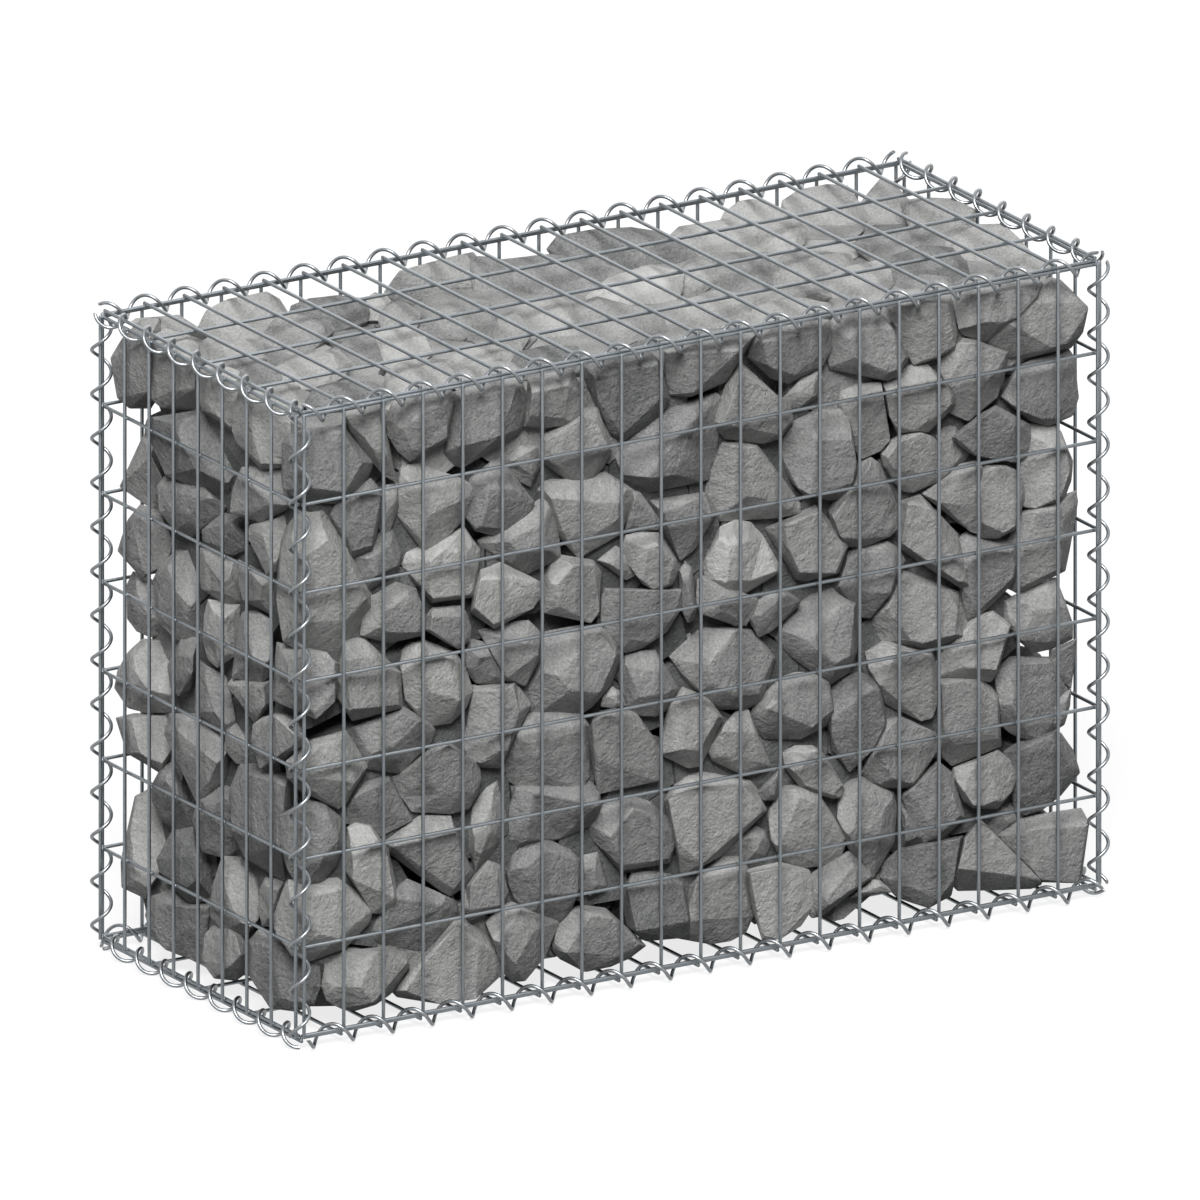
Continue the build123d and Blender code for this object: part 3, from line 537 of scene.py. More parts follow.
# %% Stones seen on top
TOP_STONES = """
0|134,323 140,319 177,316 198,330 204,334 185,338 165,339 148,333|142,321 176,318 196,331 160,334
0|200,331 210,311 222,298 235,295 260,294 273,301 281,313 272,320 262,340 240,345 215,345 203,342|222,300 258,296 271,304 276,315 240,322 205,335
2|170,340 195,338 212,346 215,357 205,363 188,353|178,342 208,348 206,358
0|221,366 235,360 262,360 276,371 277,380 262,388 248,392 232,382|230,364 262,362 274,374 250,387
0|262,340 277,320 290,316 325,322 329,331 313,340 305,352 288,357 272,350|278,322 322,325 310,336 288,335 270,340
0|292,320 296,306 312,300 335,297 360,300 364,312 362,320 345,327 328,331 308,322|296,318 300,305 358,302 360,312 330,322
2|362,302 375,293 387,298 392,305 384,318 368,318|368,302 380,298 386,308
0|380,320 384,310 395,300 408,306 418,315 414,327 400,333 385,331|384,318 395,303 414,315 410,325
0|391,290 405,271 432,260 460,251 470,264 481,276 480,290 455,297 425,303 400,300|405,273 435,262 458,253 468,266 478,286 428,288 395,290
2|470,262 480,259 495,260 505,274 512,290 508,302 495,306 478,303 481,280|474,263 492,262 503,277 482,280
0|421,334 427,312 445,305 465,301 485,303 493,315 500,332 490,347 455,351 430,351|428,314 465,304 488,308 490,314 430,322
0|494,334 500,318 512,313 522,320 528,334 520,348 502,345|498,330 514,318 520,338
0|499,272 508,262 552,257 580,261 605,270 616,279 608,290 590,296 560,300 535,301 511,291|502,272 512,264 552,260 580,263 606,278 560,285 535,292
0|511,312 530,303 556,300 568,306 574,320 578,333 570,345 550,350 530,350 520,335|520,314 556,306 568,312 570,322 528,330
0|557,249 565,237 595,231 630,230 648,233 662,241 680,247 692,260 680,272 650,276 612,276 587,264 563,257|567,239 595,233 630,232 650,236 660,242 640,252 580,248
0|592,296 612,279 630,272 648,268 677,274 676,291 663,308 650,316 625,318 600,312|614,280 648,270 674,276 655,292 636,290 610,297
0|578,306 600,300 630,306 655,314 660,330 654,342 630,347 600,348 586,340 580,322|600,322 648,318 656,328 640,342 600,342
4|672,304 677,280 688,266 700,262 715,266 716,280 700,292 685,298|690,270 706,268 702,284
0|675,236 684,228 705,225 728,221 750,226 756,240 758,252 735,257 712,260 694,258 682,248|684,230 706,227 748,228 752,240 700,248
0|680,277 692,263 715,255 740,254 762,255 766,268 768,284 755,294 725,300 700,300 684,293|694,264 740,257 758,260 757,272 700,276
0|723,223 728,212 740,202 752,200 768,205 782,211 789,219 782,228 765,235 745,233|732,212 752,202 778,211 782,220 746,222
2|755,234 772,225 795,221 803,230 801,243 790,251 768,255 757,247|758,236 792,224 799,232 770,240
0|786,216 788,203 800,192 825,188 844,190 851,206 863,216 865,230 858,242 846,250 830,250 808,247 802,232 795,224|790,204 802,194 842,192 848,206 860,218 830,222 806,220
2|856,216 865,200 880,182 893,187 906,201 911,222 890,229 866,227|882,186 892,190 903,204 870,206
0|904,203 925,200 952,201 971,211 970,222 962,232 945,240 930,240 915,232 910,222|908,205 950,203 966,212 966,218 914,217
0|859,243 880,235 910,230 932,233 938,245 945,255 930,262 900,265 876,260 864,251|866,243 910,233 930,238 932,248 880,250
0|884,268 890,259 922,248 948,250 960,262 963,275 940,285 908,290 890,284|888,268 924,251 944,253 956,264 916,272
0|948,250 952,238 965,228 985,226 1009,225 1015,240 1027,254 1026,263 1008,272 985,277 965,268 952,258|958,236 1006,227 1012,244 1022,256 980,250 960,246
2|1018,272 1024,259 1032,257 1046,262 1050,270 1040,281 1026,281|1026,262 1044,265 1036,274
0|771,279 778,265 787,256 812,253 844,256 848,266 846,280 820,287 795,292 776,288|782,264 812,256 840,259 838,268 800,276
0|824,290 832,276 850,268 878,262 886,272 888,284 880,296 862,302 845,300 832,298|834,282 876,266 882,276 866,290 850,280
0|668,334 672,314 688,302 718,293 745,299 752,310 755,322 745,330 720,335 695,340 678,343|676,312 718,297 742,303 744,312 690,320
0|753,324 758,308 775,302 800,299 824,304 828,312 815,320 795,322 770,330|762,310 800,302 820,307 790,318
4|755,302 775,292 795,287 820,286 826,297 800,302 772,306 758,308|764,300 796,290 818,292
0|888,300 897,287 922,276 945,278 955,290 948,300 925,303 900,308|898,290 924,280 944,283 940,294
0|953,296 963,280 985,272 1010,270 1024,275 1024,285 1000,290 968,300|964,282 1008,273 1018,278 972,292
0|268,388 282,384 297,386 303,398 300,408 288,408 276,400|276,388 296,389 298,400
0|308,404 318,388 345,381 370,384 384,392 378,400 350,406 318,411|320,392 345,384 374,390 340,400
0|270,378 288,358 312,352 335,352 346,362 340,375 318,386 290,386|290,362 332,354 338,366 292,376
2|335,352 350,338 368,332 380,344 380,360 368,373 350,378 340,366|344,354 368,338 376,350 352,362
0|372,340 384,330 408,327 421,336 428,352 416,363 396,368 380,360|380,340 406,330 416,338 384,352
0|388,376 400,365 420,361 440,363 450,374 449,386 425,393 400,398 390,390|398,368 438,366 442,374 404,386
0|456,378 466,368 490,362 510,363 518,372 514,381 485,386 460,388|468,370 506,366 508,374 470,382
0|512,366 520,353 545,347 572,348 580,358 577,370 545,374 520,378|524,356 570,351 572,360 530,366
2|450,362 462,350 490,346 508,351 508,362 485,368 460,372|466,352 500,350 498,358 466,364
2|210,348 225,342 250,340 266,342 272,354 262,363 236,364 218,366|222,346 258,344 262,354 228,358
4|262,342 276,348 292,357 286,372 272,376 264,362|270,350 284,360 272,366
"""
print("stones on the top:", len(TOP_STONES.strip().splitlines()))

# %% [markdown]
# A list of words is easy to write, and a few lines of Python turn it into numbers: a
# set-back in metres, an outline and a flattest face for each stone.


# %% Read the lists of stones
def corners(words):
    """Page corners of a string of x,y pairs."""
    return [tuple(float(n) for n in pair.split(",")) for pair in words.split()]


def read_stones(listing):
    """Set-back, outline and flattest face of every stone in a list."""
    stones = []
    for line in listing.strip().splitlines():
        recess, outline, facet = line.split("|")
        stones.append((float(recess) * MM, corners(outline), corners(facet)))
    return stones


seen_stones = {
    "front": read_stones(FRONT_STONES),
    "left": read_stones(LEFT_STONES),
    "top": read_stones(TOP_STONES),
}
print({face: len(found) for face, found in seen_stones.items()})

# %% [markdown]
# Packed stones lean against the mesh, but don't come through it. So the fill gets a skin that
# none of them may pass, a box a few millimetres inside the wires. It is worked out from the
# boxes of the panels rather than written as numbers, and so it follows the frame.

# %% Skin of the fill
SKIN_GAP = 3.5 * MM
LID_GAP = 6 * MM
FLOOR_GAP = 0.5 * MM

skin = {
    "x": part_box("right_panel")[0].x - SKIN_GAP,
    "y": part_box("back_panel")[0].y - SKIN_GAP,
    "floor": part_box("base_panel")[1].z + FLOOR_GAP,
    "roof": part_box("lid_panel")[0].z - LID_GAP,
}
INWARD = {"front": Vector((0, 1, 0)), "left": Vector((1, 0, 0)), "top": Vector((0, 0, -1))}
SKIN_START = {"front": skin["y"], "left": skin["x"], "top": skin["roof"]}
print("skin of the fill:", {key: round(value, 4) for key, value in skin.items()})

# %% [markdown]
# In a parallel view a page corner is a straight line through the basket. Where that line meets
# the skin of the fill is where the corner of a front facet is. The outline lies somewhat
# further back, where the stone is widest, and a smaller ring behind it closes the stone in the
# pile. No corner may leave the space inside the wires, so each is slid along its own line until
# it is inside, which doesn't move it on the page.

# %% Lines through the basket
PAGE_MIDDLE = 599.5

page_right = Vector((math.cos(VIEW_TURN), math.sin(VIEW_TURN), 0))
page_up = page_right.cross(looking)
toward = -looking


def on_page(corner):
    """Point in the plane through the middle of the basket that shows at a page corner."""
    across = (corner[0] - PAGE_MIDDLE) / PIXELS_PER_METRE
    down = (corner[1] - PAGE_MIDDLE) / PIXELS_PER_METRE
    return middle + page_right * across - page_up * down


def at_depth(corner, face, depth):
    """Point of a page corner's line that is the given depth inside the skin."""
    point = on_page(corner)
    inward = INWARD[face]
    start = -SKIN_START[face]
    return point + toward * ((start + depth - point.dot(inward)) / toward.dot(inward))


def kept_inside(point):
    """The point, slid along its line of sight until it is inside the wires."""
    x, y, low, high = skin["x"], skin["y"], skin["floor"], skin["roof"]
    most = min((point.x + x) / -toward.x, (point.y + y) / -toward.y, (high - point.z) / toward.z)
    least = max((point.x - x) / -toward.x, (point.y - y) / -toward.y, (low - point.z) / toward.z)
    moved = point + toward * min(max(0.0, least), most)
    return Vector((
        max(-x, min(x, moved.x)),
        max(-y, min(y, moved.y)),
        max(low, min(high, moved.z)),
    ))


print("one pixel of the page is", round(1 / PIXELS_PER_METRE / MM, 3), "mm")

# %% [markdown]
# Broken rock is made of flats, and a convex hull is just that: the tightest skin of flats round
# a handful of corners. The hull operator closes it. A few chips are then cut from it with the
# bisect operator, and flats that nearly lie in one plane are merged to the few large facets
# that a hammer leaves. Last, the arrises are worn a little with a bevel.

# %% Close a stone, chip it and wear its arrises
CORNER_APART = 4.5 * MM
NEARLY_FLAT = math.radians(7)
WORN = 1.1 * MM
ARRIS_FROM = math.radians(12)


def apply_modifier(obj, kind, **settings):
    """Adds a modifier with its settings and applies it."""
    pick(obj)
    modifier = obj.modifiers.new(kind.lower(), kind)
    for key, value in settings.items():
        setattr(modifier, key, value)
    bpy.ops.object.modifier_apply(modifier=modifier.name)
    return obj


def cut_off(place, way):
    """Cuts away what lies beyond a plane, and closes the cut with a face."""
    bpy.ops.mesh.select_all(action="SELECT")
    bpy.ops.mesh.bisect(plane_co=place, plane_no=way, use_fill=True, clear_outer=True)


def hull_stone(points, chips):
    """Closes the hull of the points, knocks chips off and merges its nearly coplanar flats."""
    mesh = bpy.data.meshes.new("stone")
    mesh.from_pydata([tuple(p) for p in points], [], [])
    block = bpy.data.objects.new("stone", mesh)
    bpy.context.collection.objects.link(block)
    pick(block)
    bpy.ops.object.mode_set(mode="EDIT")
    bpy.ops.mesh.select_all(action="SELECT")
    bpy.ops.mesh.remove_doubles(threshold=CORNER_APART)
    bpy.ops.mesh.convex_hull()
    for place, way in chips:
        cut_off(place, way)
    bpy.ops.mesh.select_all(action="SELECT")
    bpy.ops.mesh.dissolve_limited(angle_limit=NEARLY_FLAT)
    bpy.ops.object.mode_set(mode="OBJECT")
    return block


def worn(block):
    """Worn arrises on one stone."""
    return apply_modifier(block, "BEVEL", width=WORN, segments=2, limit_method="ANGLE",
                          angle_limit=ARRIS_FROM, use_clamp_overlap=False)


print("arrises worn by", WORN / MM, "mm")

# %% [markdown]
# Hundreds of stones on the table would slow every operator down. So a finished stone gets its
# tone and is taken off the table, and comes back when its course is laid. Most tones scatter
# round the middle, and the painted shade of the stones in the heart of the pile round the low
# end. The numbers come from one generator with a fixed seed, so each run makes the same stones.

# %% Tone a stone and put it away
SEED = 52
USUAL_TONE = (0.5, 0.19)
# Tones of the heart stones: a painted shade, so the cracks between the others look dark
PAINTED_SHADE_TONE = (-0.14, 0.12)
LOWEST_TONE, HIGHEST_TONE = -0.3, 1.0

rng = random.Random(SEED)


def put_away(block, painted_shade=False):
    """Gives a finished stone its tone and takes it off the table until the courses are laid."""
    tone = block.data.attributes.new("stone_tone", "FLOAT", "POINT")
    # Heart stones take the low tones of painted shade, the rest their own scattered grey
    value = rng.gauss(*(PAINTED_SHADE_TONE if painted_shade else USUAL_TONE))
    value = min(HIGHEST_TONE, max(LOWEST_TONE, value))
    tone.data.foreach_set("value", [value] * len(block.data.vertices))
    bpy.context.collection.objects.unlink(block)
    return block


print("tones from", LOWEST_TONE, "to", HIGHEST_TONE)

# %% [markdown]
# The flattest face of a stone lies along a plane. On the long face and the short end that is
# the wall of the basket, set back as the list says. On top the stones lie as they fell, so the
# plane leans to the camera and goes through the stone's highest corner. An outline that was
# read off the page also has corners on its straight sides, and they are dropped here, because
# each would leave a needless small facet.

# %% Plane and outline of a stone
TOP_LEAN = math.radians(26)
# A corner is straight when it is within so many pixels of the line between its neighbours
STRAIGHT = 2.2
FEWEST_CORNERS = 5


def without_straights(outline):
    """Drops corners that lie nearly on the line between their neighbours."""
    kept = list(outline)
    dropped = True
    while dropped and len(kept) > FEWEST_CORNERS:
        dropped = False
        for i, corner in enumerate(kept):
            before, after = Vector(kept[i - 1]), Vector(kept[(i + 1) % len(kept)])
            line = after - before
            if abs(line.cross(Vector(corner) - before)) / max(line.length, 1) < STRAIGHT:
                kept.pop(i)
                dropped = True
                break
    return kept


def stone_plane(face, recess, outline):
    """A point and the outward direction of the plane that a stone's flattest face lies along."""
    if face != "top":
        return at_depth(outline[0], face, recess), -INWARD[face]
    highest = min(outline, key=lambda corner: corner[1])
    level = Vector((toward.x, toward.y, 0)).normalized()
    outward = level * math.sin(TOP_LEAN) + Vector((0, 0, math.cos(TOP_LEAN)))
    return at_depth(highest, face, recess), outward.normalized()


print("top stones lean", round(math.degrees(TOP_LEAN)), "degrees")

# %% [markdown]
# A hammer leaves large chips. Two or three are cut from the front of each stone, the first of
# them facing down, which is where the picture has its dark facets. A chip may go in no further
# than the widest ring of the stone, or the outline on the page would shrink.

# %% Chips of a stone
# Chips lean by so many degrees, and turns round the face are in radians
CHIP_LEAN = (36, 54)
CHIP_BITE = (0.0, 0.3)
CHIP_COUNTS = (2, 2, 3)
FIRST_TURN_SPREAD = 0.6
NEXT_TURN = (1.3, 2.3)


def chip_way(outward, lean, turn):
    """Direction that leans away from a face; turn 0 leans down, or to the camera on top."""
    down = Vector((0, 0, -1)) - outward * -outward.z
    side = down.normalized()
    side.rotate(Matrix.Rotation(turn, 3, outward))
    return (outward * math.cos(lean) + side * math.sin(lean)).normalized()


def chips_of(points, rims, outward):
    """Cutting planes between the widest ring and the corners in front of it."""
    chips = []
    turn = rng.gauss(0, FIRST_TURN_SPREAD)
    for _ in range(rng.choice(CHIP_COUNTS)):
        way = chip_way(outward, math.radians(rng.uniform(*CHIP_LEAN)), turn)
        rim_reach = max(r.dot(way) for r in rims)
        front_reach = max(p.dot(way) for p in points)
        reach = rim_reach + (front_reach - rim_reach) * rng.uniform(*CHIP_BITE)
        chips.append((way * reach, way))
        turn += rng.choice((-1, 1)) * rng.uniform(*NEXT_TURN)
    return chips


print("chips lean", CHIP_LEAN, "degrees")

# %% [markdown]
# A stone is now three rings of corners: its flattest face, turned a little so that no two lie
# alike, the outline where it is widest, and a smaller ring behind. How deep they lie is given
# as a share of the stone's own radius. On the short end, which the camera sees from far to the
# side, the widest ring is turned half way to the camera. Without that, these stones would come
# out far too deep. Outlines are grown slightly, so that neighbours meet.

# %% Shape one stone of the lists
GROWN = {"front": 1.03, "left": 1.06, "top": 1.18}
WIDEST_AT = {"front": 0.60, "left": 0.56, "top": 0.36}
RING_TURN = {"front": 0.2, "left": 0.9, "top": 0.0}
GOES_BACK = {"front": (0.5, 0.9), "left": (0.5, 0.9), "top": (0.0, 0.2)}
GOES_IN = {"front": (0.3, 0.6), "left": (0.3, 0.6), "top": (0.7, 1.1)}
# The flattest face leans by so many degrees, and the ring behind is a share of the outline
LEAN_ACROSS = (-11, 11)
LEAN_DOWN = (-7, 12)
BACK_RING = (0.55, 0.8)
MIDDLE_BEHIND_RING = 0.3


def drawn_stone(face, recess, outline, facet):
    """One stone of the lists, and its middle."""
    count = len(outline)
    centre = (sum(c[0] for c in outline) / count, sum(c[1] for c in outline) / count)
    radius = sum(math.dist(c, centre) for c in outline) / count / PIXELS_PER_METRE
    outline = without_straights([tuple(m + (c - m) * GROWN[face] for c, m in zip(corner, centre))
                                 for corner in outline])
    start, outward = stone_plane(face, recess, outline)

    def meet(corner, depth):
        """Where a corner's line meets the plane that lies the given depth behind the face."""
        point = on_page(corner)
        short = (start - outward * depth - point).dot(outward)
        return point + toward * (short / toward.dot(outward))

    deep = meet(centre, WIDEST_AT[face] * radius)
    lean = [math.tan(math.radians(rng.uniform(*span))) for span in (LEAN_ACROSS, LEAN_DOWN)]
    spots = [[(c - m) / PIXELS_PER_METRE for c, m in zip(corner, centre)] for corner in facet]
    leans = [lean[0] * across + lean[1] * down for across, down in spots]
    nearest = min(leans)
    points = [kept_inside(meet(c, own - nearest)) for c, own in zip(facet, leans)]
    rims = []
    ring = (outward + toward * RING_TURN[face]).normalized()
    for corner in outline:
        rim = on_page(corner)
        rim += toward * (deep - rim).dot(ring) / toward.dot(ring)
        rims.append(kept_inside(rim))
        points.append(rims[-1])
        behind = deep + (rim - deep) * rng.uniform(*BACK_RING)
        behind -= toward * radius * rng.uniform(*GOES_BACK[face])
        points.append(kept_inside(behind - outward * radius * rng.uniform(*GOES_IN[face])))
    block = hull_stone(points, chips_of(points, rims, outward))
    return put_away(worn(block)), deep - toward * radius * MIDDLE_BEHIND_RING


print("a stone is widest at", WIDEST_AT, "of its radius")

# %% [markdown]
# Now every line of the three lists becomes a stone. Its middle is kept beside it, because that
# says later which course it lies in and which other stones have to make room for it.

# %% Shape the stones that the picture shows
drawn = []
for face, found in seen_stones.items():
    for recess, outline, facet in found:
        drawn.append(drawn_stone(face, recess, outline, facet))
print("drawn stones:", len(drawn))

# %% [markdown]
# The rest of the pile is made by chance, because nobody sees it in the picture: the inside, the
# back, the far end and the underside. Each of these stones starts from its own point. The
# points stand in rows like bricks, scattered a little, and a point that is too near a drawn
# stone is left out. A stone near a wall of the basket is marked, because it will be seen there.

# %% Points for the other stones
STONE_WIDE = 92 * MM
STONE_DEEP = 78 * MM
STONE_HIGH = 82 * MM
STONE_REACH_MM = (40, 58)
SCATTER = 16 * MM
FILL_GAP = 9 * MM
BEHIND_DRAWN = 30 * MM
CLEAR_OF_DRAWN = 36 * MM
FROM_SEEN_WALL = 50 * MM
FROM_OTHER_WALL = 30 * MM
AT_WALL = 62 * MM

wall_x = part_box("right_panel")[0].x - FILL_GAP
wall_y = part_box("back_panel")[0].y - FILL_GAP
floor_z, roof_z = skin["floor"], skin["roof"]


def spread(low, high, step):
    """Evenly spaced middles of about the given step between two walls."""
    count = round((high - low) / step)
    width = (high - low) / count
    return [low + width * (i + 0.5) for i in range(count)]


class Stone:
    """A point, a size and the walls that it touches."""

    def __init__(self, place, reach):
        self.place = place
        self.reach = reach
        self.walls = []
        if wall_x - place.x < AT_WALL:
            self.walls.append((Vector((1, 0, 0)), wall_x))
        if wall_y - place.y < AT_WALL:
            self.walls.append((Vector((0, 1, 0)), wall_y))
        if place.z - floor_z < AT_WALL:
            self.walls.append((Vector((0, 0, -1)), -floor_z))


# Every other row is shifted by half a stone, as bricks are
stones = []
for level, z in enumerate(spread(floor_z, roof_z - BEHIND_DRAWN, STONE_HIGH)):
    for row, y in enumerate(spread(-wall_y + BEHIND_DRAWN, wall_y, STONE_DEEP)):
        shift = STONE_WIDE * 0.5 * ((level + row) % 2 - 0.5)
        for x in spread(-wall_x + BEHIND_DRAWN, wall_x, STONE_WIDE):
            place = Vector((x + shift, y, z))
            place += Vector([rng.uniform(-1, 1) * SCATTER for _ in range(3)])
            place.x = max(-wall_x + FROM_SEEN_WALL, min(wall_x - FROM_OTHER_WALL, place.x))
            place.y = max(-wall_y + FROM_SEEN_WALL, min(wall_y - FROM_OTHER_WALL, place.y))
            place.z = max(floor_z + FROM_OTHER_WALL, min(roof_z - FROM_SEEN_WALL, place.z))
            if min((place - centre).length for _, centre in drawn) > CLEAR_OF_DRAWN:
                stones.append(Stone(place, rng.uniform(*STONE_REACH_MM) * MM))
print("other stones:", len(stones), "of which against a wall:", sum(1 for s in stones if s.walls))

# %% [markdown]
# A hand-packed stone shows its best face outside. So a stone at a wall gets one large flat that
# nearly lies along it, and some steep ones round that. Each is a plane, given by its distance
# from the stone's point and the direction that it looks in.

# %% Face of a stone at a wall
# Distances are shares of the room up to the wall, and leans are in degrees
WALL_FACE = (0.75, 0.95)
WALL_FACE_LEAN = (2, 20)
SIDE_CUT = (0.80, 1.0)
SIDE_CUT_LEAN = (30, 58)
SIDE_CUT_LEAST = 20 * MM
SIDE_CUT_COUNTS = (2, 3, 3)
SIDE_CUT_TURN = 2.1
SIDE_CUT_SCATTER = (-0.4, 0.4)
ANY_TURN = (0, 6.28)


def tilted(axis, angle, turn):
    """Direction leaning away from the axis by an angle, towards a turn round it."""
    side = axis.orthogonal().normalized()
    side.rotate(Matrix.Rotation(turn, 3, axis))
    return (axis * math.cos(angle) + side * math.sin(angle)).normalized()


def wall_cuts(stone, way, wall):
    """Cutting planes of the face that a stone turns to a wall."""
    room_left = wall - stone.place.dot(way)
    distance = room_left * rng.uniform(*WALL_FACE)
    lean = math.radians(rng.uniform(*WALL_FACE_LEAN))
    cuts = [(distance, tilted(way, lean, rng.uniform(*ANY_TURN)))]
    first_turn = rng.uniform(*ANY_TURN)
    for step in range(rng.choice(SIDE_CUT_COUNTS)):
        lean = math.radians(rng.uniform(*SIDE_CUT_LEAN))
        distance = max(SIDE_CUT_LEAST, min(room_left, stone.reach) * rng.uniform(*SIDE_CUT))
        turn = first_turn + step * SIDE_CUT_TURN + rng.uniform(*SIDE_CUT_SCATTER)
        cuts.append((distance, tilted(way, lean, turn)))
    return cuts


print("the face at a wall leans", WALL_FACE_LEAN, "degrees")

# %% [markdown]
# Halfway to each neighbour runs a plane that neither stone may cross. On the sides that the
# camera sees, another plane keeps the room for the drawn stones. Further planes at chance
# angles knock the corners off, or the stones inside would be as regular as crystals.

# %% Planes round one stone
# Distances are shares of the stone's reach
JOINT = 1.2 * MM
FAR_PLANE = 1.4
CHANCE_CUTS_AT_WALL, CHANCE_CUTS_INSIDE = 6, 2
CHANCE_CUT = (0.80, 1.02)
DRAWN_SIDES = (
    (Vector((-1, 0, 0)), skin["x"]),
    (Vector((0, -1, 0)), skin["y"]),
    (Vector((0, 0, 1)), skin["roof"]),
)


def planes_of(stone, near):
    """Cutting planes of a stone as (distance from its point, outward direction)."""
    cuts = []
    for other in near:
        apart = other.place - stone.place
        length = apart.length
        share = (length ** 2 + stone.reach ** 2 - other.reach ** 2) / (2 * length)
        if share < FAR_PLANE * stone.reach:
            cuts.append((share - JOINT, apart.normalized()))
    for way, wall in DRAWN_SIDES:
        room_left = wall - BEHIND_DRAWN - stone.place.dot(way)
        if room_left < FAR_PLANE * stone.reach:
            cuts.append((room_left, way))
    for _ in range(CHANCE_CUTS_AT_WALL if stone.walls else CHANCE_CUTS_INSIDE):
        way = Vector([rng.gauss(0, 1) for _ in range(3)]).normalized()
        cuts.append((stone.reach * rng.uniform(*CHANCE_CUT), way))
    for way, wall in stone.walls:
        cuts.extend(wall_cuts(stone, way, wall))
    return cuts


print("joints between stones:", JOINT / MM, "mm")

# %% [markdown]
# Each of them is cut in edit mode with the bisect operator, which drops what lies outside the
# plane and closes the cut with a new face. One that belongs to the skin of the fill is then
# pushed out until its furthest corner is close to the wire, as the real ones are. A stone only
# has to know the ones that are near enough to touch it, which keeps the cutting quick.

# %% Cut all the other stones
CUBE_SIZE = 2.6
NEAR = 150 * MM
PLAY_MM = (0, 5)
LIT_DEPTH = 90 * MM


def cut_stone(stone, near):
    """Cuts a cube down to the stone and seats it against its walls."""
    bpy.ops.object.select_all(action="DESELECT")
    bpy.ops.mesh.primitive_cube_add(size=CUBE_SIZE * stone.reach, location=stone.place)
    block = bpy.context.object
    bpy.ops.object.mode_set(mode="EDIT")
    for distance, way in planes_of(stone, near):
        cut_off(stone.place + way * distance, way)
    bpy.ops.object.mode_set(mode="OBJECT")
    for way, wall in stone.walls:
        furthest = max((v.co + block.location).dot(way) for v in block.data.vertices)
        block.location += way * (wall - rng.uniform(*PLAY_MM) * MM - furthest)
    bpy.ops.object.transform_apply(location=True, rotation=False, scale=False)
    if stone.walls:
        return put_away(worn(block))
    # Heart stones deeper than LIT_DEPTH under the top get a painted shade tone
    return put_away(block, painted_shade=roof_z - stone.place.z > LIT_DEPTH)


cut = []
for stone in stones:
    near = [o for o in stones if o is not stone and (o.place - stone.place).length < NEAR]
    cut.append((cut_stone(stone, near), stone))
print("cut stones:", len(cut))

# %% [markdown]
# The fill is packed by hand, course on course. So the stones are sorted into the courses of
# the frame by the height of their middles, and those that show are kept apart from those
# inside the pile.

# %% Sort the stones into courses
courses = sorted(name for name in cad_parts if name.startswith("rock_course"))
course_tops = [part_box(name)[1].z for name in courses]


def course_of(height):
    """Name of the course that a height falls in."""
    below = sum(1 for top in course_tops if height >= top)
    return courses[min(below, len(courses) - 1)]


skins = {name: [] for name in courses}
hearts = {name: [] for name in courses}
for block, centre in drawn:
    skins[course_of(centre.z)].append(block)
for block, stone in cut:
    (skins if stone.walls else hearts)[course_of(stone.place.z)].append(block)
print("showing:", {name: len(found) for name, found in skins.items()})

# %% [markdown]
# A course is many stones and a panel many wires, and each has to become one piece. A piece is
# settled by writing its place into its mesh, so that its origin is the world's origin and the
# patterns that read Object coordinates stay where they are. Then it gets its material, and is
# smoothed except at its arrises, which would look soft if they were smoothed too.

# %% Join, settle and dress a piece
STONE_CRISP_FROM = 15
WIRE_CRISP_FROM = 50


def settle(obj):
    """Writes the object's place, turn and scale into its mesh."""
    pick(obj)
    bpy.ops.object.transform_apply(location=True, rotation=True, scale=True)
    return obj


def join(objects, name):
    """Joins the objects into the first one and names it."""
    joined = pick(*objects)
    if len(objects) > 1:
        bpy.ops.object.join()
    joined.name = name
    joined.data.name = name
    return joined


def dress(piece, material, crisp_from):
    """Gives a piece its material, and smooths it except at arrises of so many degrees."""
    pick(piece)
    bpy.ops.object.shade_smooth_by_angle(angle=math.radians(crisp_from))
    piece.data.materials.clear()
    piece.data.materials.append(material)


print("arrises stay crisp from", STONE_CRISP_FROM, "degrees on stone,", WIRE_CRISP_FROM, "on wire")

# %% [markdown]
# On the stones that show, a net of finer faces is laid over the flats and pushed in and out a
# little by noise, so that no flat is quite flat. Those inside the pile hardly show, so they
# stay as they were cut, and each course becomes one piece.

# %% Lay the courses
HOLLOW = 24 * MM
HOLLOW_DEPTH = 1.5 * MM

hollows = bpy.data.textures.new("hammer_hollows", "CLOUDS")
hollows.noise_scale = HOLLOW
hollows.noise_depth = 2
for name in courses:
    for block in skins[name] + hearts[name]:
        bpy.context.collection.objects.link(block)
    pile = settle(join(skins[name], "skin"))
    apply_modifier(pile, "TRIANGULATE")
    apply_modifier(pile, "SUBSURF", subdivision_type="SIMPLE", levels=1)
    apply_modifier(pile, "DISPLACE", texture=hollows, strength=HOLLOW_DEPTH, mid_level=0.5,
                   texture_coords="LOCAL")
    pile = settle(join([pile] + hearts[name], name.replace("rock_course", "stones_of_course")))
    dress(pile, rock_face, STONE_CRISP_FROM)
    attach(pile, "root")
    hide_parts(name)
    faces = sum(len(f.vertices) - 2 for f in pile.data.polygons)
    print(pile.name, "stones:", len(skins[name]) + len(hearts[name]), "triangles:", faces)

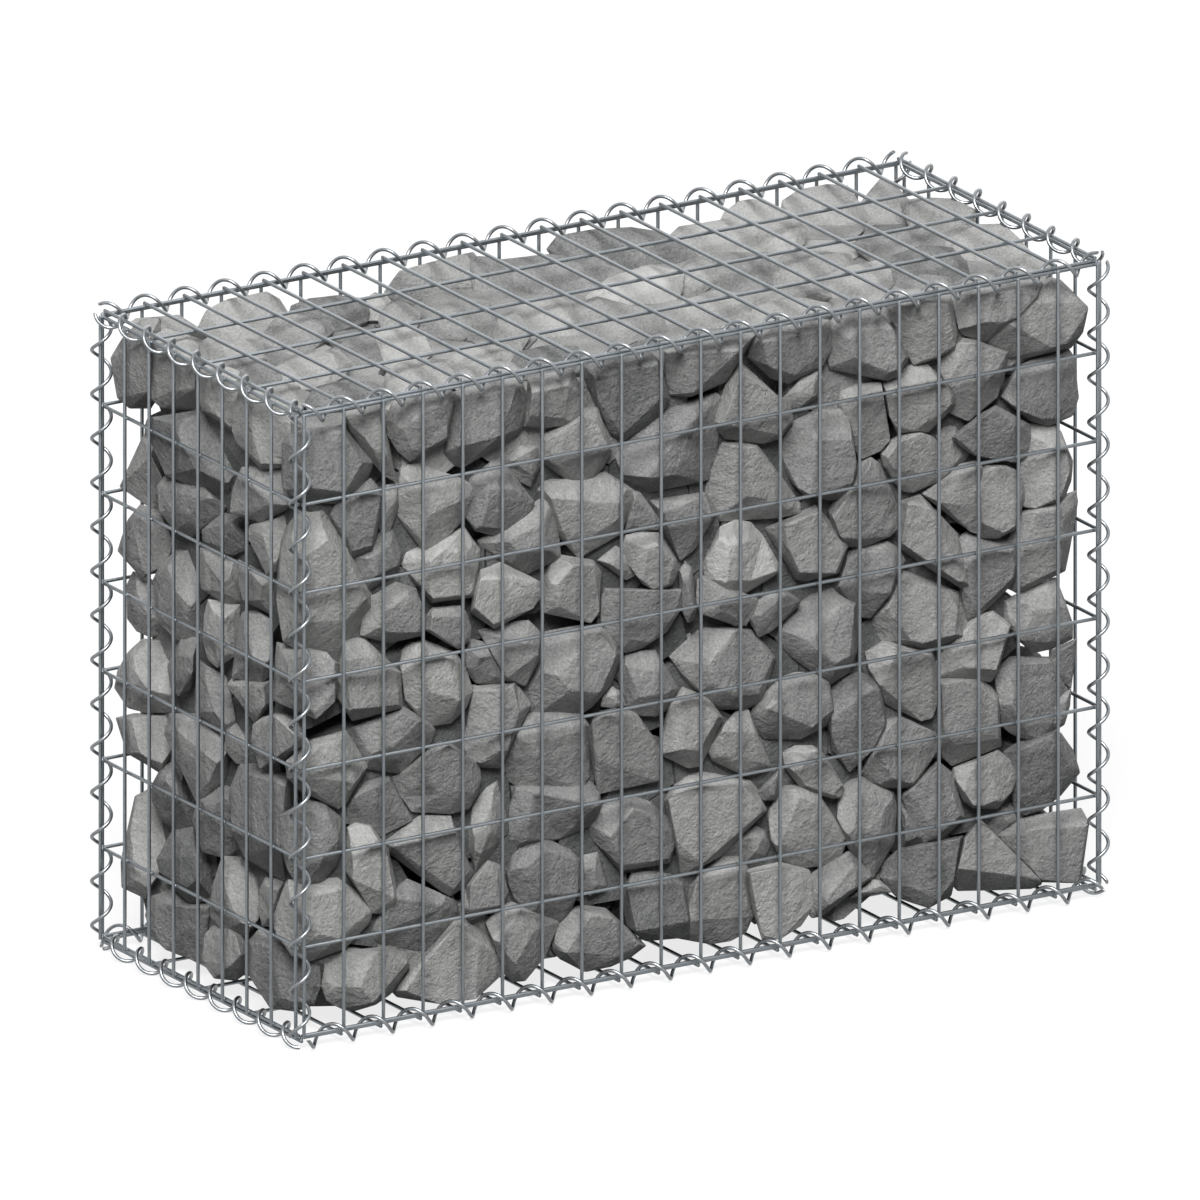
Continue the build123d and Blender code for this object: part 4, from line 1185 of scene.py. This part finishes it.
# %% [markdown]
# A mesh panel is two layers of straight wire, one across the other, welded at each crossing.
# One wire is made from a cylinder whose two cut ends are eased with a bevel, and one weld from
# a small sphere pressed flat. Both are then copied to where they belong, each copy with a mesh
# of its own.

# %% One wire and one weld
WIRE = 4.0 * MM
WIRE_SIDES = 14
END_EASE = 0.35 * MM
END_FACING = 0.9
WELD_RADIUS = 2.15 * MM
WELD_SHAPE = (1.12, 1.12, 0.62)


def straight_wire(length, name):
    """One wire along Z, middle at the origin, with eased cut ends."""
    bpy.ops.object.select_all(action="DESELECT")
    bpy.ops.mesh.primitive_cylinder_add(vertices=WIRE_SIDES, radius=WIRE / 2, depth=length)
    rod = bpy.context.object
    rod.name = name
    bpy.ops.object.mode_set(mode="EDIT")
    bpy.ops.mesh.select_all(action="DESELECT")
    bpy.ops.object.mode_set(mode="OBJECT")
    for face in rod.data.polygons:
        face.select = abs(face.normal.z) > END_FACING
    bpy.ops.object.mode_set(mode="EDIT")
    bpy.ops.mesh.select_mode(type="FACE")
    bpy.ops.mesh.bevel(offset=END_EASE, segments=2, affect="EDGES")
    bpy.ops.object.mode_set(mode="OBJECT")
    return rod


def weld_collar(name):
    """A little collar of melted zinc and steel, flattened along Z."""
    bpy.ops.object.select_all(action="DESELECT")
    bpy.ops.mesh.primitive_ico_sphere_add(subdivisions=2, radius=WELD_RADIUS)
    collar = bpy.context.object
    collar.name = name
    bpy.ops.object.mode_set(mode="EDIT")
    bpy.ops.mesh.select_all(action="SELECT")
    bpy.ops.transform.resize(value=WELD_SHAPE)
    bpy.ops.object.mode_set(mode="OBJECT")
    return collar


def copied_to(model, places):
    """Copies of a wire or weld at each place, each with its own mesh; the model is removed."""
    made = []
    for place in places:
        twin = model.copy()
        twin.data = model.data.copy()
        bpy.context.collection.objects.link(twin)
        twin.location = place
        made.append(twin)
    bpy.data.objects.remove(model)
    return made


print("wire:", WIRE / MM, "mm")

# %% [markdown]
# The wires of a panel stand at even steps. A panel can lie along any two of the three axes, so
# a wire is turned to the axis that it runs along, and its place is given axis by axis.

# %% Steps and axes of a panel
CLOSE = 50 * MM
WIDE = 100 * MM
# How a wire along Z is turned to lie along each axis
TURNED_TO = {
    0: Matrix.Rotation(math.radians(90), 4, "Y"),
    1: Matrix.Rotation(math.radians(90), 4, "X"),
    2: Matrix.Identity(4),
}


def even(low, high, step):
    """Positions from low to high in whole steps of about the given pitch."""
    count = round((high - low) / step)
    return [low + (high - low) * i / count for i in range(count + 1)]


def point_at(places):
    """Point whose coordinate along each axis is given."""
    return [places[axis] for axis in range(3)]


print("steps along one metre:", len(even(0, 1, CLOSE)) - 1)

# %% [markdown]
# The panel's box in the frame gives the rest, because its thickness is one bar over the other.
# The close wires are the outer layer and the wide ones the inner. In a standing panel the close
# wires run up, and in the lid and the base they run from front to back.

# %% Make the six panels
INNER_END = 0.8 * MM
OUTER_END = 2.0 * MM


def mesh_panel(node, name):
    """Round wires and welds of one panel, placed from the panel's box."""
    low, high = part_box(node)
    size = high - low
    thin = min(range(3), key=lambda axis: size[axis])
    wide_axis = 1 if thin == 2 else 2
    close_axis = 3 - thin - wide_axis
    bar = size[thin] / 2
    corner = bar / math.sqrt(3)
    outward = 1 if (low[thin] + high[thin]) / 2 > middle[thin] else -1
    outside = high[thin] - bar / 2 if outward > 0 else low[thin] + bar / 2
    inside = outside - outward * bar
    close_at = even(low[close_axis] + corner, high[close_axis] - corner, CLOSE)
    wide_at = even(low[wide_axis] + corner, high[wide_axis] - corner, WIDE)
    close_wire = straight_wire(wide_at[-1] - wide_at[0] + 2 * OUTER_END, "close_wire")
    close_wire.data.transform(TURNED_TO[wide_axis])
    wide_middle = (wide_at[0] + wide_at[-1]) / 2
    made = copied_to(close_wire, [
        point_at({wide_axis: wide_middle, close_axis: near, thin: outside}) for near in close_at])
    wide_wire = straight_wire(close_at[-1] - close_at[0] + 2 * INNER_END, "wide_wire")
    wide_wire.data.transform(TURNED_TO[close_axis])
    close_middle = (close_at[0] + close_at[-1]) / 2
    made += copied_to(wide_wire, [
        point_at({close_axis: close_middle, wide_axis: far, thin: inside}) for far in wide_at])
    weld = weld_collar("weld")
    weld.data.transform(TURNED_TO[thin])
    between = (outside + inside) / 2
    made += copied_to(weld, [
        point_at({close_axis: near, wide_axis: far, thin: between})
        for near in close_at for far in wide_at])
    panel = settle(join(made, name))
    dress(panel, zinc_mesh, WIRE_CRISP_FROM)
    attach(panel, "root")
    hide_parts(node)
    print(name, "wires:", len(close_at) + len(wide_at), "welds:", len(close_at) * len(wide_at))


for node in ("front_panel", "back_panel", "left_panel", "right_panel", "lid_panel", "base_panel"):
    mesh_panel(node, node.replace("panel", "mesh"))

# %% [markdown]
# An edge spiral is a length of wire wound on a rod, with one turn to each close cell. It can be
# drawn as a curve, but the Screw modifier is nearer to how it is wound: a small ring, the
# section of the wire, is swept round the axis while it climbs by the pitch. The ring is made
# taller than wide, because the wire climbs at a slope and is cut there at a slant. The two cut
# ends are left open by the sweep, and are closed with a face each.

# %% Wind one spiral
SPIRAL_RADIUS = 10.5 * MM
PITCH = 50 * MM
SPIRAL_SIDES = 10
TURN_STEPS = 28
SAME_POINT = 0.01 * MM


def wound_wire(length, turns):
    """Wire wound round the Z axis up to the given length, closed at its cut ends."""
    slope = math.atan(PITCH / (2 * math.pi * SPIRAL_RADIUS))
    bpy.ops.object.select_all(action="DESELECT")
    bpy.ops.mesh.primitive_circle_add(vertices=SPIRAL_SIDES, radius=WIRE / 2, fill_type="NOTHING")
    coil = bpy.context.object
    bpy.ops.object.mode_set(mode="EDIT")
    bpy.ops.mesh.select_all(action="SELECT")
    bpy.ops.transform.resize(value=(1, 1 / math.cos(slope), 1))
    bpy.ops.object.mode_set(mode="OBJECT")
    coil.data.transform(Matrix.Rotation(math.radians(90), 4, "X"))
    coil.data.transform(Matrix.Translation((SPIRAL_RADIUS, 0, 0)))
    steps = int(TURN_STEPS * turns)
    apply_modifier(coil, "SCREW", axis="Z", angle=2 * math.pi * turns, screw_offset=length,
                   steps=steps, render_steps=steps, iterations=1)
    pick(coil)
    bpy.ops.object.mode_set(mode="EDIT")
    bpy.ops.mesh.select_all(action="SELECT")
    bpy.ops.mesh.remove_doubles(threshold=SAME_POINT)
    bpy.ops.mesh.select_all(action="DESELECT")
    bpy.ops.mesh.select_mode(type="EDGE")
    bpy.ops.mesh.select_non_manifold()
    bpy.ops.mesh.edge_face_add()
    bpy.ops.mesh.select_all(action="SELECT")
    bpy.ops.mesh.normals_make_consistent(inside=False)
    bpy.ops.object.mode_set(mode="OBJECT")
    return coil


print("spiral:", (2 * SPIRAL_RADIUS + WIRE) / MM, "mm across,", PITCH / MM, "mm to a turn")

# %% [markdown]
# A spiral is screwed in along its edge until its wire clears every mesh wire that it passes.
# How far that turns it is given for each edge, as the angle that its wire has reached half way
# along. The box of its node says which way the edge runs and where its middle is.

# %% Lay the twelve spirals along their edges
AT_MIDDLE = {
    "spiral_top_front": 90, "spiral_top_back": 52,
    "spiral_bottom_front": 174, "spiral_bottom_back": 289,
    "spiral_top_left": -72, "spiral_top_right": 36,
    "spiral_bottom_left": 177, "spiral_bottom_right": 130,
    "spiral_front_left": 138, "spiral_front_right": -2,
    "spiral_back_left": 58, "spiral_back_right": -20,
}
# Where the coil's own X, Y and Z point when it lies along each axis
ALONG_AXIS = {
    0: ((0, 1, 0), (0, 0, 1), (1, 0, 0)),
    1: ((0, 0, 1), (1, 0, 0), (0, 1, 0)),
    2: ((1, 0, 0), (0, 1, 0), (0, 0, 1)),
}


def edge_spiral(node, turn_at_middle):
    """Round wire wound along the edge that the node's box covers."""
    low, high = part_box(node)
    size = high - low
    along = max(range(3), key=lambda axis: size[axis])
    length = round(size[along] / PITCH) * PITCH
    turns = length / PITCH
    coil = wound_wire(length, turns)
    start = math.radians(turn_at_middle - 180 * turns)
    coil.data.transform(Matrix.Translation((0, 0, -length / 2)))
    coil.data.transform(Matrix.Rotation(start, 4, "Z"))
    coil.data.transform(Matrix(ALONG_AXIS[along]).transposed().to_4x4())
    coil.data.transform(Matrix.Translation((low + high) / 2))
    coil.name = node + "_wire"
    coil.data.name = coil.name
    dress(coil, zinc_spiral, WIRE_CRISP_FROM)
    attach(coil, "root")
    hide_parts(node)


for node, turn in AT_MIDDLE.items():
    edge_spiral(node, turn)
print("spirals:", len(AT_MIDDLE))
